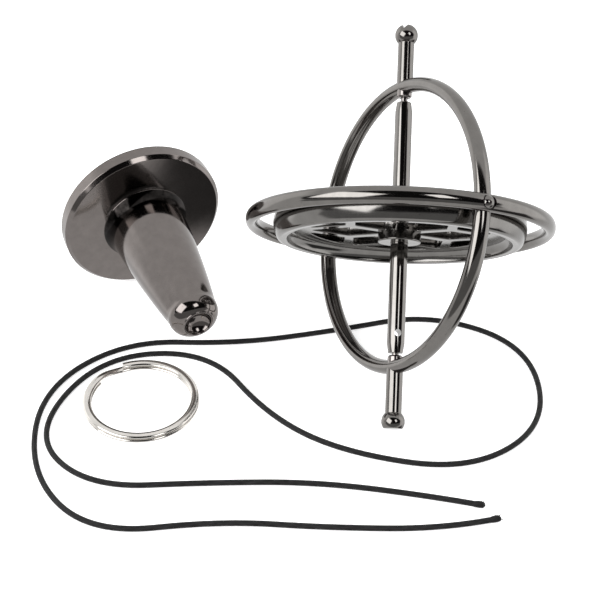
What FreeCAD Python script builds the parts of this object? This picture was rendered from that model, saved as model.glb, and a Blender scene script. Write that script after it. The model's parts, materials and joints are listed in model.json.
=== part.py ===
"""Toy gyroscope with its pedestal stand, a split ring and the pull cord.

Lengths are in millimetres and angles in degrees.  The set lies on a table whose
surface is z = 0.  The origin is the point of the table that the gyroscope's foot
touches.  The gyroscope's axis leans away towards +Y, and +X is to its right.

The gyroscope is built upright in its own frame, with its origin at the centre of the
rings, +Z towards the slotted knob and the vertical ring in the XZ plane.  The stand is
built upright on its underside.  Both are then turned into the attitude they lie in.
"""
import FreeCAD
import Part
import math
import os

Vector = FreeCAD.Vector
X_AXIS = Vector(1, 0, 0)
Y_AXIS = Vector(0, 1, 0)
Z_AXIS = Vector(0, 0, 1)
ORIGIN = Vector(0, 0, 0)
DIAGONAL = Vector(math.sqrt(0.5), 0, math.sqrt(0.5))

# --- fits -----------------------------------------------------------------------------
SEAT_GAP = 0.03            # between pieces that are fixed together
PIVOT_CLEARANCE = 0.05     # radial, pivot pin in its cup
PIVOT_TIP_GAP = 0.03       # lower pivot point over the bottom of its cup
END_PLAY = 0.65            # of the rotor between the two cups

# --- the two rings, bent from the same oval bar ----------------------------------------
RING_BAR_RADIAL = 2.65
RING_BAR_AXIAL = 3.6
WHEEL_CLEARANCE = 1.725          # radial, flywheel inside the vertical ring
RING_LAP = 1.08                  # depth of the notches that lap over the vertical ring

RIVET_SHANK_D = 1.8
RIVET_HEAD_D = 2.6
RIVET_HEAD_HEIGHT = 0.75
SPOT_FACE_D = 3.2
SPOT_FACE_DEPTH = 0.35

# --- posts, knobs and bearing cups -------------------------------------------------------
POST_D = 3.5
KNOB_D = 5.0
KNOB_STANDOFF = 11.8             # knob's centre beyond the vertical ring's centre line
TOP_FLAT = 2.15                  # flat of the top knob, from the knob's centre
FOOT_FLAT = 1.5                  # flat of the foot knob, from the knob's centre
SLOT_WIDTH = 1.3                 # at the top of the V
SLOT_DEPTH = 1.25
SLOT_TURN = 132.0                # from the vertical ring's plane

CUP_D = 3.2
CUP_STANDOFF = 0.83              # face of the cup inside the vertical ring
CUP_BORE_DEPTH = 1.8
CUP_EDGE = 0.3
CUP_HEAD_SINK = 0.66             # cup's head short of the ring's centre line
CUP_STEM_D = 2.2
CUP_STEM_REACH = 2.6             # stem beyond the outside of the vertical ring

# --- rotor ---------------------------------------------------------------------------------
SHAFT_D = 3.72
SHAFT_TO_CUP = 0.745             # shaft's end short of the cup's face, rotor midway
SHAFT_END_D = 3.1
SHAFT_END_TAPER = 2.05
PIVOT_D = 1.45
PIVOT_POINT_HEIGHT = 0.5
PIVOT_SEAT_DEPTH = 4.0           # pivot pin pressed into the shaft
CORD_HOLE_FROM_END = 4.2         # from the shaft's foot end
CORD_HOLE_TURN = -20.0

FLYWHEEL_D = 54.1
RIM_HEIGHT = 6.7
RIM_EDGE_ROUND = 1.2
RIM_LAND_WIDTH = 3.05            # end face of the rim, rounded edge included
RIM_WALL_WIDTH = 1.4             # hollow inner wall, from the end face to the web
RIM_HOLLOW_IN = 0.35             # middle of the hollow inner wall, as a share of its width
RIM_HOLLOW_UP = 0.3              # and of its height
WEB_THICKNESS = 3.0
WEB_RING_WIDTH = 3.3             # plain annulus of the web, inside the rim
HUB_D = 9.2
HUB_HEIGHT = 7.0
HUB_EDGE = 0.4
SPOKES = 6
SPOKE_WIDTH = 2.4
FORK_RADIUS = 12.3               # where each spoke forks
FORK_ANGLE = 60.0                # between a spoke and each of its branches
BRANCH_WIDTH = 2.2
WINDOW_ROUND = 0.7
UPRIGHT = 1e-6                   # largest sine of the tilt of an upright edge

# --- attitude of the gyroscope -------------------------------------------------------------
RING_ROLL = 31.7                 # of the vertical ring about the gyroscope's axis
RING_LIFT = 1.6                  # vertical ring over the table, so that it clears the cord

# --- pedestal stand ------------------------------------------------------------------------
BASE_D = 36.6
BASE_THICKNESS = 3.8
BASE_BEVEL_HEIGHT = 0.9
BASE_BEVEL_WIDTH = 0.8
BASE_FACE_RISE = 0.7             # conical upper face, rim to column
BASE_EDGE = 0.3
STAND_HEIGHT = 38.9
ROOT_D = 19.6                    # flared root of the column
ROOT_COVE_HEIGHT = 3.8
ROOT_COVE_WIDTH = 1.3
SHOULDER_D = 11.0                # column below its rounded nose
NOSE_HEIGHT = 3.9
NOSE_MIDDLE_OUT = 0.74           # middle of the nose's round, as a share from lip to shoulder
NOSE_MIDDLE_DOWN = 0.38          # and as a share of its height
COLUMN_BULGE = 0.35              # of the convex taper over a straight one
CUP_LIP_D = 6.9
CUP_LIP_WIDTH = 0.5
CUP_DEPTH = 1.8
SPIGOT_D = 11.0
SPIGOT_SHORT = 0.6               # spigot short of the base's underside
STAND_X = -59.3
STAND_Y = 49.4
STAND_YAW = 26.4                 # of the column, from -Y towards +X
STAND_DIP = 5.8                  # tip below the horizontal

# --- split ring ------------------------------------------------------------------------------
SPLIT_RING_OD = 24.8
SPLIT_WIRE_WIDTH = 1.75          # flattened wire, across the ring
SPLIT_WIRE_HEIGHT = 0.95
SPLIT_COIL_GAP = 0.04
SPLIT_RING_X = -53.95
SPLIT_RING_Y = 4.92
SPLIT_CROSSING = 134.0           # direction of the crossing from the ring's centre
SPLIT_CROSSING_SPAN = 34.0       # angle over which the wire changes level
CROSSING_SECTIONS = 11

# --- pull cord -------------------------------------------------------------------------------
CORD_D = 1.2
CORD_HOLE_CLEARANCE = 0.3
ARC_SHARE = 0.45                 # share of the shorter run that each arc takes
CORD_ROUTE = (
    (21.6, -25.0), (10.8, -28.5), (-12.1, -29.5), (-33.7, -28.9), (-59.0, -34.0),
    (-73.9, -18.4), (-76.1, 7.4), (-60.0, 24.6), (-35.7, 25.0), (-14.4, 30.5),
    (7.7, 38.0), (29.6, 28.1), (32.8, 2.9), (16.2, -12.1), (-9.9, -8.2),
    (-26.5, 2.0), (-40.9, 22.2), (-65.0, 19.0), (-75.7, -6.2), (-61.9, -21.3),
    (-36.8, -18.4), (-15.3, -17.0), (7.4, -19.5), (18.5, -21.6),
)

# --- sizes worked out from those above -------------------------------------------------------
RIM_LAND_INNER_R = FLYWHEEL_D / 2 - RIM_LAND_WIDTH
RIM_FOOT_R = RIM_LAND_INNER_R - RIM_WALL_WIDTH
WEB_RING_INNER_R = RIM_FOOT_R - WEB_RING_WIDTH
VERTICAL_RING_INSIDE = FLYWHEEL_D / 2 + WHEEL_CLEARANCE
VERTICAL_RING_RADIUS = VERTICAL_RING_INSIDE + RING_BAR_RADIAL / 2
VERTICAL_RING_OUTSIDE = VERTICAL_RING_INSIDE + RING_BAR_RADIAL
HORIZONTAL_RING_RADIUS = VERTICAL_RING_RADIUS + RING_BAR_RADIAL - RING_LAP
HORIZONTAL_RING_OUTSIDE = HORIZONTAL_RING_RADIUS + RING_BAR_RADIAL / 2
KNOB_R = KNOB_D / 2
KNOB_CENTRE = VERTICAL_RING_RADIUS + KNOB_STANDOFF
CUP_FACE = VERTICAL_RING_INSIDE - CUP_STANDOFF
CUP_BOTTOM = CUP_FACE + CUP_BORE_DEPTH
STEM_END = VERTICAL_RING_OUTSIDE + CUP_STEM_REACH
SHAFT_LENGTH = 2 * (CUP_FACE - SHAFT_TO_CUP)
ROTOR_DROP = END_PLAY / 2 - PIVOT_TIP_GAP
PIVOT_REACH = CUP_BOTTOM - END_PLAY / 2
CORD_HOLE_D = CORD_D + CORD_HOLE_CLEARANCE


# --- small tools -----------------------------------------------------------------------------
def at(radius, height):
    """A point of a profile that is turned about Z."""
    return Vector(radius, 0, height)


def line(start, end):
    return Part.LineSegment(start, end).toShape()


def arc(start, middle, end):
    return Part.Arc(start, middle, end).toShape()


def turned(edges, axis=Z_AXIS):
    """Solid of revolution of a closed profile."""
    face = Part.Face(Part.Wire(edges))
    return face.revolve(ORIGIN, axis, 360)


def polyline(points):
    """Edges that join the points and close the loop."""
    return [line(a, b) for a, b in zip(points, points[1:] + points[:1])]


def mirrored(shape):
    """The same piece at the other end of the gyroscope's axis."""
    return shape.mirror(ORIGIN, Z_AXIS)


def along_z(diameter, low, high):
    return Part.makeCylinder(diameter / 2, high - low, Vector(0, 0, low), Z_AXIS)


def along_x(diameter, low, high):
    return Part.makeCylinder(diameter / 2, high - low, Vector(low, 0, 0), X_AXIS)


def oval_ring(radius, axis, across, growth=0.0):
    """Ring of oval bar about an axis, seamed across it; growth thickens the bar all round."""
    radial = RING_BAR_RADIAL / 2 + growth
    axial = RING_BAR_AXIAL / 2 + growth
    centre = across * radius
    if axial >= radial:
        oval = Part.Ellipse(centre + axis * axial, centre + across * radial, centre)
    else:
        oval = Part.Ellipse(centre + across * radial, centre + axis * axial, centre)
    face = Part.Face(Part.Wire([oval.toShape()]))
    return face.revolve(ORIGIN, axis, 360)


# --- gyroscope frame -------------------------------------------------------------------------
def rivet_holes():
    hole = along_x(RIVET_SHANK_D + 2 * SEAT_GAP, 0, 2 * HORIZONTAL_RING_OUTSIDE)
    return hole.fuse(hole.mirror(ORIGIN, X_AXIS))


def make_vertical_ring():
    ring = oval_ring(VERTICAL_RING_RADIUS, Y_AXIS, DIAGONAL)
    stem_hole = along_z(CUP_STEM_D + 2 * SEAT_GAP, -2 * STEM_END, 2 * STEM_END)
    return ring.cut(stem_hole).cut(rivet_holes())


def spot_face_floor():
    return HORIZONTAL_RING_OUTSIDE - SPOT_FACE_DEPTH


def make_horizontal_ring():
    ring = oval_ring(HORIZONTAL_RING_RADIUS, Z_AXIS, Y_AXIS)
    lapped = ring.cut(oval_ring(VERTICAL_RING_RADIUS, Y_AXIS, DIAGONAL, SEAT_GAP))
    spot = along_x(SPOT_FACE_D, spot_face_floor(), 2 * HORIZONTAL_RING_OUTSIDE)
    spots = spot.fuse(spot.mirror(ORIGIN, X_AXIS))
    return lapped.cut(rivet_holes()).cut(spots)


def make_rivet():
    """Shank through both rings, with a domed head in the spot face."""
    floor = spot_face_floor() + SEAT_GAP
    head_r = RIVET_HEAD_D / 2
    shank_r = RIVET_SHANK_D / 2
    dome_r = (head_r ** 2 + RIVET_HEAD_HEIGHT ** 2) / (2 * RIVET_HEAD_HEIGHT)
    half_rise = math.asin(head_r / dome_r) / 2
    crown = floor + RIVET_HEAD_HEIGHT
    on_dome = at(dome_r * math.sin(half_rise), crown - dome_r + dome_r * math.cos(half_rise))
    profile = [
        line(at(0, VERTICAL_RING_INSIDE), at(shank_r, VERTICAL_RING_INSIDE)),
        line(at(shank_r, VERTICAL_RING_INSIDE), at(shank_r, floor)),
        line(at(shank_r, floor), at(head_r, floor)),
        arc(at(head_r, floor), on_dome, at(0, crown)),
        line(at(0, crown), at(0, VERTICAL_RING_INSIDE)),
    ]
    rivet = turned(profile)
    rivet.rotate(ORIGIN, Y_AXIS, 90)
    return rivet


def make_ring_rivets():
    rivet = make_rivet()
    return Part.makeCompound([rivet, rivet.mirror(ORIGIN, X_AXIS)])


def make_post(flat):
    """Rod coped over the vertical ring, with a ball knob cut flat at its end."""
    centre = Vector(0, 0, KNOB_CENTRE)
    rod = along_z(POST_D, VERTICAL_RING_RADIUS, KNOB_CENTRE)
    knob = Part.makeSphere(KNOB_R, centre)
    knob = knob.common(along_z(2 * KNOB_D, KNOB_CENTRE - KNOB_D, KNOB_CENTRE + flat))
    post = rod.fuse(knob)
    post = post.cut(oval_ring(VERTICAL_RING_RADIUS, Y_AXIS, DIAGONAL, SEAT_GAP))
    stem_bore = along_z(CUP_STEM_D + 2 * SEAT_GAP, 0, STEM_END + SEAT_GAP)
    return post.cut(stem_bore).removeSplitter()


def knob_slot():
    """V groove across the top knob, in which the gyroscope can ride a cord."""
    top = KNOB_CENTRE + TOP_FLAT
    above = top + SLOT_DEPTH
    points = [
        Vector(-KNOB_D, 0, top - SLOT_DEPTH),
        Vector(-KNOB_D, SLOT_WIDTH, above),
        Vector(-KNOB_D, -SLOT_WIDTH, above),
    ]
    groove = Part.Face(Part.Wire(polyline(points))).extrude(X_AXIS * 2 * KNOB_D)
    groove.rotate(ORIGIN, Z_AXIS, SLOT_TURN)
    return groove


def make_top_post():
    return make_post(TOP_FLAT).cut(knob_slot())


def make_foot_post():
    return mirrored(make_post(FOOT_FLAT))


def make_bearing_cup():
    """Cup inside the ring; its stem passes through the ring into the post."""
    r = CUP_D / 2
    points = [
        at(0, CUP_FACE),
        at(r - CUP_EDGE, CUP_FACE),
        at(r, CUP_FACE + CUP_EDGE),
        at(r, VERTICAL_RING_RADIUS),
        at(0, VERTICAL_RING_RADIUS),
    ]
    head = turned(polyline(points))
    head = head.cut(oval_ring(VERTICAL_RING_RADIUS, Y_AXIS, DIAGONAL, SEAT_GAP))
    inner = along_z(CUP_D, 0, VERTICAL_RING_RADIUS - CUP_HEAD_SINK)
    cup = head.common(inner).fuse(along_z(CUP_STEM_D, CUP_FACE + CUP_EDGE, STEM_END))
    bore = along_z(PIVOT_D + 2 * PIVOT_CLEARANCE, 0, CUP_BOTTOM)
    return cup.cut(bore).removeSplitter()


def make_bearing_cups():
    cup = make_bearing_cup()
    return Part.makeCompound([cup, mirrored(cup)])


# --- rotor -----------------------------------------------------------------------------------
def make_rotor_shaft():
    half = SHAFT_LENGTH / 2
    r = SHAFT_D / 2
    end_r = SHAFT_END_D / 2
    points = [
        at(0, -half),
        at(end_r, -half),
        at(r, -half + SHAFT_END_TAPER),
        at(r, half - SHAFT_END_TAPER),
        at(end_r, half),
        at(0, half),
    ]
    shaft = turned(polyline(points))
    hole = along_x(CORD_HOLE_D, -SHAFT_D, SHAFT_D)
    hole.rotate(ORIGIN, Z_AXIS, CORD_HOLE_TURN)
    hole.translate(Vector(0, 0, -half + CORD_HOLE_FROM_END))
    seat = along_z(PIVOT_D + 2 * SEAT_GAP, half - PIVOT_SEAT_DEPTH, 2 * half)
    return shaft.cut(seat).cut(mirrored(seat)).cut(hole)


def make_pivot_pins():
    """Two pins with conical points, pressed in the ends of the shaft."""
    r = PIVOT_D / 2
    low = SHAFT_LENGTH / 2 - PIVOT_SEAT_DEPTH + SEAT_GAP
    points = [
        at(0, low),
        at(r, low),
        at(r, PIVOT_REACH - PIVOT_POINT_HEIGHT),
        at(0, PIVOT_REACH),
    ]
    pin = turned(polyline(points))
    return Part.makeCompound([pin, mirrored(pin)])


def flywheel_blank():
    """Heavy rim, thin web and hub, turned about Z."""
    rim_r = FLYWHEEL_D / 2
    top = RIM_HEIGHT / 2
    web = WEB_THICKNESS / 2
    hub_r = HUB_D / 2
    hub = HUB_HEIGHT / 2
    bore_r = SHAFT_D / 2 + SEAT_GAP
    edge = RIM_EDGE_ROUND * (1 - math.sqrt(0.5))
    wall = RIM_LAND_INNER_R - RIM_FOOT_R
    cove = at(RIM_LAND_INNER_R - RIM_HOLLOW_IN * wall, web + RIM_HOLLOW_UP * (top - web))
    upper = [
        line(at(bore_r, 0), at(bore_r, hub)),
        line(at(bore_r, hub), at(hub_r - HUB_EDGE, hub)),
        line(at(hub_r - HUB_EDGE, hub), at(hub_r, hub - HUB_EDGE)),
        line(at(hub_r, hub - HUB_EDGE), at(hub_r, web)),
        line(at(hub_r, web), at(RIM_FOOT_R, web)),
        arc(at(RIM_FOOT_R, web), cove, at(RIM_LAND_INNER_R, top)),
        line(at(RIM_LAND_INNER_R, top), at(rim_r - RIM_EDGE_ROUND, top)),
        arc(at(rim_r - RIM_EDGE_ROUND, top), at(rim_r - edge, top - edge),
            at(rim_r, top - RIM_EDGE_ROUND)),
        line(at(rim_r, top - RIM_EDGE_ROUND), at(rim_r, 0)),
        line(at(rim_r, 0), at(bore_r, 0)),
    ]
    half = turned(upper)
    return half.fuse(mirrored(half)).removeSplitter()


def polar(radius, angle):
    return Vector(radius * math.cos(angle), radius * math.sin(angle), 0)


def crossing(point_a, direction_a, point_b, direction_b):
    """Where two lines in the XY plane meet."""
    cross = direction_a.x * direction_b.y - direction_a.y * direction_b.x
    offset = point_b - point_a
    reach = (offset.x * direction_b.y - offset.y * direction_b.x) / cross
    return point_a + direction_a * reach


def window_cutter(points, keep):
    """Prism through the web over the given corners, kept inside a solid, corners rounded."""
    face = Part.Face(Part.Wire(polyline(points)))
    prism = face.extrude(Z_AXIS * 2 * WEB_THICKNESS)
    prism.translate(Z_AXIS * -WEB_THICKNESS)
    prism = keep(prism)
    corners = [e for e in prism.Edges if e.tangentAt(e.FirstParameter).cross(Z_AXIS).Length < UPRIGHT]
    return prism.makeFillet(WINDOW_ROUND, corners)


def kite_window():
    """Between two spokes, centred on +X: bounded by hub, spokes and two branches."""
    half_pitch = math.pi / SPOKES
    spoke = polar(1, half_pitch)
    beside_spoke = polar(1, half_pitch - math.pi / 2) * (SPOKE_WIDTH / 2)
    branch = polar(1, half_pitch - math.radians(FORK_ANGLE))
    inside_branch = polar(1, half_pitch - math.radians(FORK_ANGLE) - math.pi / 2) * (BRANCH_WIDTH / 2)
    fork = polar(FORK_RADIUS, half_pitch)
    corner = crossing(beside_spoke, spoke, fork + inside_branch, branch)
    heel = crossing(beside_spoke, spoke, ORIGIN, X_AXIS)
    tip = crossing(fork + inside_branch, branch, ORIGIN, X_AXIS)
    points = [heel, Vector(corner.x, -corner.y, 0), tip, corner]
    hub = along_z(HUB_D, -HUB_HEIGHT, HUB_HEIGHT)
    return window_cutter(points, lambda prism: prism.cut(hub))


def rim_window():
    """Outside a fork, centred on +X: bounded by two branches and the plain annulus."""
    branch = polar(1, math.radians(FORK_ANGLE))
    outside = polar(1, math.radians(FORK_ANGLE) - math.pi / 2) * (BRANCH_WIDTH / 2)
    fork = polar(FORK_RADIUS, 0)
    apex = crossing(fork + outside, branch, ORIGIN, X_AXIS)
    far = apex + branch * FLYWHEEL_D
    points = [apex, far, Vector(far.x, -far.y, 0)]
    annulus = along_z(2 * WEB_RING_INNER_R, -HUB_HEIGHT, HUB_HEIGHT)
    return window_cutter(points, lambda prism: prism.common(annulus))


def make_flywheel():
    """Web with forked spokes: a kite window between spokes, a rim window outside each fork."""
    wheel = flywheel_blank()
    pitch = 360.0 / SPOKES
    kite = kite_window()
    rim = rim_window()
    for number in range(SPOKES):
        kite_here = kite.copy()
        kite_here.rotate(ORIGIN, Z_AXIS, number * pitch)
        rim_here = rim.copy()
        rim_here.rotate(ORIGIN, Z_AXIS, (number + 0.5) * pitch)
        wheel = wheel.cut(kite_here).cut(rim_here)
    return wheel


# --- attitude of the gyroscope ---------------------------------------------------------------
def foot_edge_r():
    return math.sqrt(KNOB_R ** 2 - FOOT_FLAT ** 2)


def centre_height(lean):
    """Height of the rings' centre when the foot's flat stands on its edge."""
    return (KNOB_CENTRE + FOOT_FLAT) * math.sin(lean) + foot_edge_r() * math.cos(lean)


def ring_depth(lean):
    """How far the vertical ring reaches below its centre."""
    across = math.cos(lean) * math.sin(math.radians(RING_ROLL))
    in_plane = math.sqrt(1 - across ** 2)
    bar = math.hypot(RING_BAR_RADIAL / 2 * in_plane, RING_BAR_AXIAL / 2 * across)
    return VERTICAL_RING_RADIUS * in_plane + bar


def resting_lean():
    """Lean of the axis over the table at which the vertical ring has its lift."""
    low = math.radians(5)
    high = math.radians(85)
    for _ in range(60):
        middle = (low + high) / 2
        if centre_height(middle) - ring_depth(middle) < RING_LIFT:
            low = middle
        else:
            high = middle
    return middle


def gyroscope_placement():
    lean = resting_lean()
    flat = KNOB_CENTRE + FOOT_FLAT
    edge = foot_edge_r()
    centre = Vector(0, flat * math.cos(lean) - edge * math.sin(lean), centre_height(lean))
    tip_over = FreeCAD.Rotation(X_AXIS, math.degrees(lean) - 90)
    roll = FreeCAD.Rotation(Z_AXIS, RING_ROLL - 90)
    return FreeCAD.Placement(centre, tip_over.multiply(roll))


# --- pedestal stand --------------------------------------------------------------------------
def seat_height():
    """Height of the base's upper face where the column's root stands on it."""
    return BASE_THICKNESS + BASE_FACE_RISE


def make_stand_base():
    r = BASE_D / 2
    bore_r = SPIGOT_D / 2 + SEAT_GAP
    points = [
        at(bore_r, 0),
        at(r - BASE_EDGE, 0),
        at(r, BASE_EDGE),
        at(r, BASE_THICKNESS - BASE_BEVEL_HEIGHT),
        at(r - BASE_BEVEL_WIDTH, BASE_THICKNESS),
        at(ROOT_D / 2, seat_height()),
        at(bore_r, seat_height()),
    ]
    return turned(polyline(points))


def cove_middle(start, end):
    """Point of a hollow arc that leaves the column's side upright."""
    width = start.x - end.x
    height = end.z - start.z
    radius = (width ** 2 + height ** 2) / (2 * width)
    half_turn = math.asin(height / radius) / 2
    return at(end.x + radius * (1 - math.cos(half_turn)), end.z - radius * math.sin(half_turn))


def make_stand_column():
    """Flared root, convex taper, rounded nose and a cup for the gyroscope's foot."""
    seat = seat_height() + SEAT_GAP
    root = at(ROOT_D / 2, seat)
    waist = at(ROOT_D / 2 - ROOT_COVE_WIDTH, seat + ROOT_COVE_HEIGHT)
    shoulder = at(SHOULDER_D / 2, STAND_HEIGHT - NOSE_HEIGHT)
    half_taper = at((waist.x + shoulder.x) / 2 + COLUMN_BULGE, (waist.z + shoulder.z) / 2)
    lip_r = CUP_LIP_D / 2
    lip = at(lip_r, STAND_HEIGHT - CUP_LIP_WIDTH / 2)
    lip_top = at(lip_r - CUP_LIP_WIDTH / 2, STAND_HEIGHT)
    cup_edge = at(lip_r - CUP_LIP_WIDTH, STAND_HEIGHT - CUP_LIP_WIDTH / 2)
    nose_out = lip_r + NOSE_MIDDLE_OUT * (shoulder.x - lip_r)
    nose = at(nose_out, STAND_HEIGHT - NOSE_MIDDLE_DOWN * NOSE_HEIGHT)
    dish_r = (cup_edge.x ** 2 + CUP_DEPTH ** 2) / (2 * CUP_DEPTH)
    half_dish = math.asin(min(1.0, cup_edge.x / dish_r)) / 2
    dish_floor = cup_edge.z - CUP_DEPTH
    dish = at(dish_r * math.sin(half_dish), dish_floor + dish_r * (1 - math.cos(half_dish)))
    spigot_r = SPIGOT_D / 2
    profile = [
        line(at(0, SPIGOT_SHORT), at(spigot_r, SPIGOT_SHORT)),
        line(at(spigot_r, SPIGOT_SHORT), at(spigot_r, seat)),
        line(at(spigot_r, seat), root),
        arc(root, cove_middle(root, waist), waist),
        arc(waist, half_taper, shoulder),
        arc(shoulder, nose, lip),
        arc(lip, lip_top, cup_edge),
        arc(cup_edge, dish, at(0, dish_floor)),
        line(at(0, dish_floor), at(0, SPIGOT_SHORT)),
    ]
    return turned(profile)


def stand_placement():
    """The stand lies on the edge of its base's bevel."""
    dip = math.radians(STAND_DIP)
    yaw = math.radians(STAND_YAW)
    edge = BASE_THICKNESS - BASE_BEVEL_HEIGHT
    height = edge * math.sin(dip) + BASE_D / 2 * math.cos(dip)
    level = math.cos(dip)
    direction = Vector(level * math.sin(yaw), -level * math.cos(yaw), -math.sin(dip))
    return FreeCAD.Placement(Vector(STAND_X, STAND_Y, height), FreeCAD.Rotation(Z_AXIS, direction))


# --- split ring ------------------------------------------------------------------------------
def wire_section(radius, angle, height):
    """Oval section of the flattened wire, square to a circle about Z."""
    centre = polar(radius, angle) + Vector(0, 0, height)
    outer = centre + polar(SPLIT_WIRE_WIDTH / 2, angle)
    upper = centre + Vector(0, 0, SPLIT_WIRE_HEIGHT / 2)
    return Part.Wire([Part.Ellipse(outer, upper, centre).toShape()])


def make_split_ring():
    """Two level coils, joined where the wire crosses from the lower one to the upper."""
    radius = (SPLIT_RING_OD - SPLIT_WIRE_WIDTH) / 2
    low = SPLIT_WIRE_HEIGHT / 2
    high = low + SPLIT_WIRE_HEIGHT + SPLIT_COIL_GAP
    half_span = math.radians(SPLIT_CROSSING_SPAN) / 2
    middle = math.radians(SPLIT_CROSSING)
    coil_turn = 360 - SPLIT_CROSSING_SPAN
    lower = Part.Face(wire_section(radius, middle + half_span, low))
    upper = Part.Face(wire_section(radius, middle + half_span, high))
    sections = []
    for number in range(CROSSING_SECTIONS):
        share = number / (CROSSING_SECTIONS - 1)
        rise = (1 - math.cos(math.pi * share)) / 2
        angle = middle - half_span + 2 * half_span * share
        sections.append(wire_section(radius, angle, low + rise * (high - low)))
    ring = lower.revolve(ORIGIN, Z_AXIS, coil_turn)
    ring = ring.fuse(Part.makeLoft(sections, True, True))
    ring = ring.fuse(upper.revolve(ORIGIN, Z_AXIS, coil_turn))
    ring.translate(Vector(SPLIT_RING_X, SPLIT_RING_Y, 0))
    return ring.Solids[0] if len(ring.Solids) == 1 else ring


# --- pull cord -------------------------------------------------------------------------------
def make_pull_cord():
    """Round tube along straight runs joined by tangent arcs, lying on the table."""
    points = [Vector(x, y, CORD_D / 2) for x, y in CORD_ROUTE]
    edges = []
    length = 0.0
    radii = []
    here = points[0]
    for before, point, after in zip(points, points[1:], points[2:]):
        run_in = point - before
        run_out = after - point
        turn = run_in.getAngle(run_out)
        tangent = ARC_SHARE * min(run_in.Length, run_out.Length)
        radius = tangent / math.tan(turn / 2)
        run_in.normalize()
        run_out.normalize()
        start = point - run_in * tangent
        end = point + run_out * tangent
        inwards = run_out - run_in
        inwards.normalize()
        sagitta = radius / math.cos(turn / 2) - radius
        edges.append(line(here, start))
        edges.append(arc(start, point + inwards * sagitta, end))
        length += (start - here).Length + radius * turn
        radii.append(round(radius, 1))
        here = end
    edges.append(line(here, points[-1]))
    length += (points[-1] - here).Length
    path = Part.Wire(edges)
    heading = points[1] - points[0]
    section = Part.Wire([Part.Circle(points[0], heading, CORD_D / 2).toShape()])
    cord = path.makePipeShell([section], True, False)
    expected = math.pi * CORD_D ** 2 / 4 * length
    print("cord arc radii", radii)
    print("cord length", round(length, 1), "volume", round(cord.Volume, 2), "expected", round(expected, 2))
    return cord


# --- the set ---------------------------------------------------------------------------------
def placed(shape, placement):
    return shape.transformed(placement.toMatrix())


def write(shape, name):
    shape.exportStep("parts/" + name + ".step")
    print(name, len(shape.Solids), "solids", round(shape.Volume, 1), "mm3", shape.isValid())


def main():
    os.makedirs("parts", exist_ok=True)
    gyroscope = gyroscope_placement()
    stand = stand_placement()
    rotor = gyroscope.multiply(FreeCAD.Placement(Vector(0, 0, -ROTOR_DROP), FreeCAD.Rotation()))
    print("lean", round(math.degrees(resting_lean()), 3), "centre", gyroscope.Base, "stand", stand.Base)
    write(placed(make_vertical_ring(), gyroscope), "vertical_ring")
    write(placed(make_horizontal_ring(), gyroscope), "horizontal_ring")
    write(placed(make_ring_rivets(), gyroscope), "ring_rivets")
    write(placed(make_top_post(), gyroscope), "top_post")
    write(placed(make_foot_post(), gyroscope), "foot_post")
    write(placed(make_bearing_cups(), gyroscope), "bearing_cups")
    write(placed(make_flywheel(), rotor), "flywheel")
    write(placed(make_rotor_shaft(), rotor), "rotor_shaft")
    write(placed(make_pivot_pins(), rotor), "pivot_pins")
    write(placed(make_stand_base(), stand), "stand_base")
    write(placed(make_stand_column(), stand), "stand_column")
    write(make_split_ring(), "split_ring")
    write(make_pull_cord(), "pull_cord")


if __name__ == "__main__":
    main()
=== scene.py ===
"""Gyroscope, pedestal stand, split ring and pull cord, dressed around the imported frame.

Lengths are in metres.  The table is z = 0 and the gyroscope's foot touches it at the
origin.  The gyroscope's pieces are made upright about +Z with the rings' centre at the
origin, the stand's upright on its underside, and both are then laid into place.
"""

import json
import math

import bmesh
import bpy
from bpy.props import (
    FloatProperty,
    FloatVectorProperty,
    IntProperty,
    PointerProperty,
)
from mathutils import Matrix, Vector
from mathutils.geometry import tessellate_polygon


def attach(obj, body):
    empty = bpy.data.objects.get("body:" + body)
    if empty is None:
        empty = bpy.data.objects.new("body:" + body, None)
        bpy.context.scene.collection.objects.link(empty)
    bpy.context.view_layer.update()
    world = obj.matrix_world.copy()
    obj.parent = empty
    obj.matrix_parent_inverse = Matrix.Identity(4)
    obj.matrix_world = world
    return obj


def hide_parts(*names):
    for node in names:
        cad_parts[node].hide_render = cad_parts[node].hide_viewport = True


bl_info = {
    "name": "Gyroscope Set",
    "version": (1, 0, 0),
    "blender": (4, 5, 0),
    "location": "View3D > Sidebar > Gyroscope",
    "description": "Builds a plated gyroscope, its pedestal, a split ring and the pull cord",
    "category": "Object",
}

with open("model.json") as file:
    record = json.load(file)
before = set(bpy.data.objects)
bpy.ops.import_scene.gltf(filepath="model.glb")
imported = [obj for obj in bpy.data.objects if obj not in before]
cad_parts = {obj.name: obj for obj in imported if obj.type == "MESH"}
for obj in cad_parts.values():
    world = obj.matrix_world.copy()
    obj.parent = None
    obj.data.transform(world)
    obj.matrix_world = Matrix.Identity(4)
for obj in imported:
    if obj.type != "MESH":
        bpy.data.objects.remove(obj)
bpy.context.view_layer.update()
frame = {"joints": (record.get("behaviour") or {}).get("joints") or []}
SPIN = next(j for j in frame["joints"] if j["name"] == "rotor_spin")
MM = 0.001
POLE = 1e-7  # nearer than this, points are one point
Z_AXIS = Vector((0, 0, 1))


# --- settings --------------------------------------------------------------------------
def length(label, default_mm, words):
    """A length, given here in millimetres."""
    return FloatProperty(
        name=label, description=words, default=default_mm * MM, min=0.0, unit="LENGTH",
        precision=5,
    )


def angle(label, degrees, words):
    return FloatProperty(
        name=label, description=words, default=math.radians(degrees), unit="ROTATION"
    )


def count(label, number, words, least=1):
    return IntProperty(name=label, description=words, default=number, min=least)


def tint(label, colour, words):
    return FloatVectorProperty(
        name=label, description=words, default=colour, size=3, min=0.0, max=1.0,
        subtype="COLOR",
    )


def amount(label, default, words, top=1.0):
    return FloatProperty(name=label, description=words, default=default, min=0.0, max=top)


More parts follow.
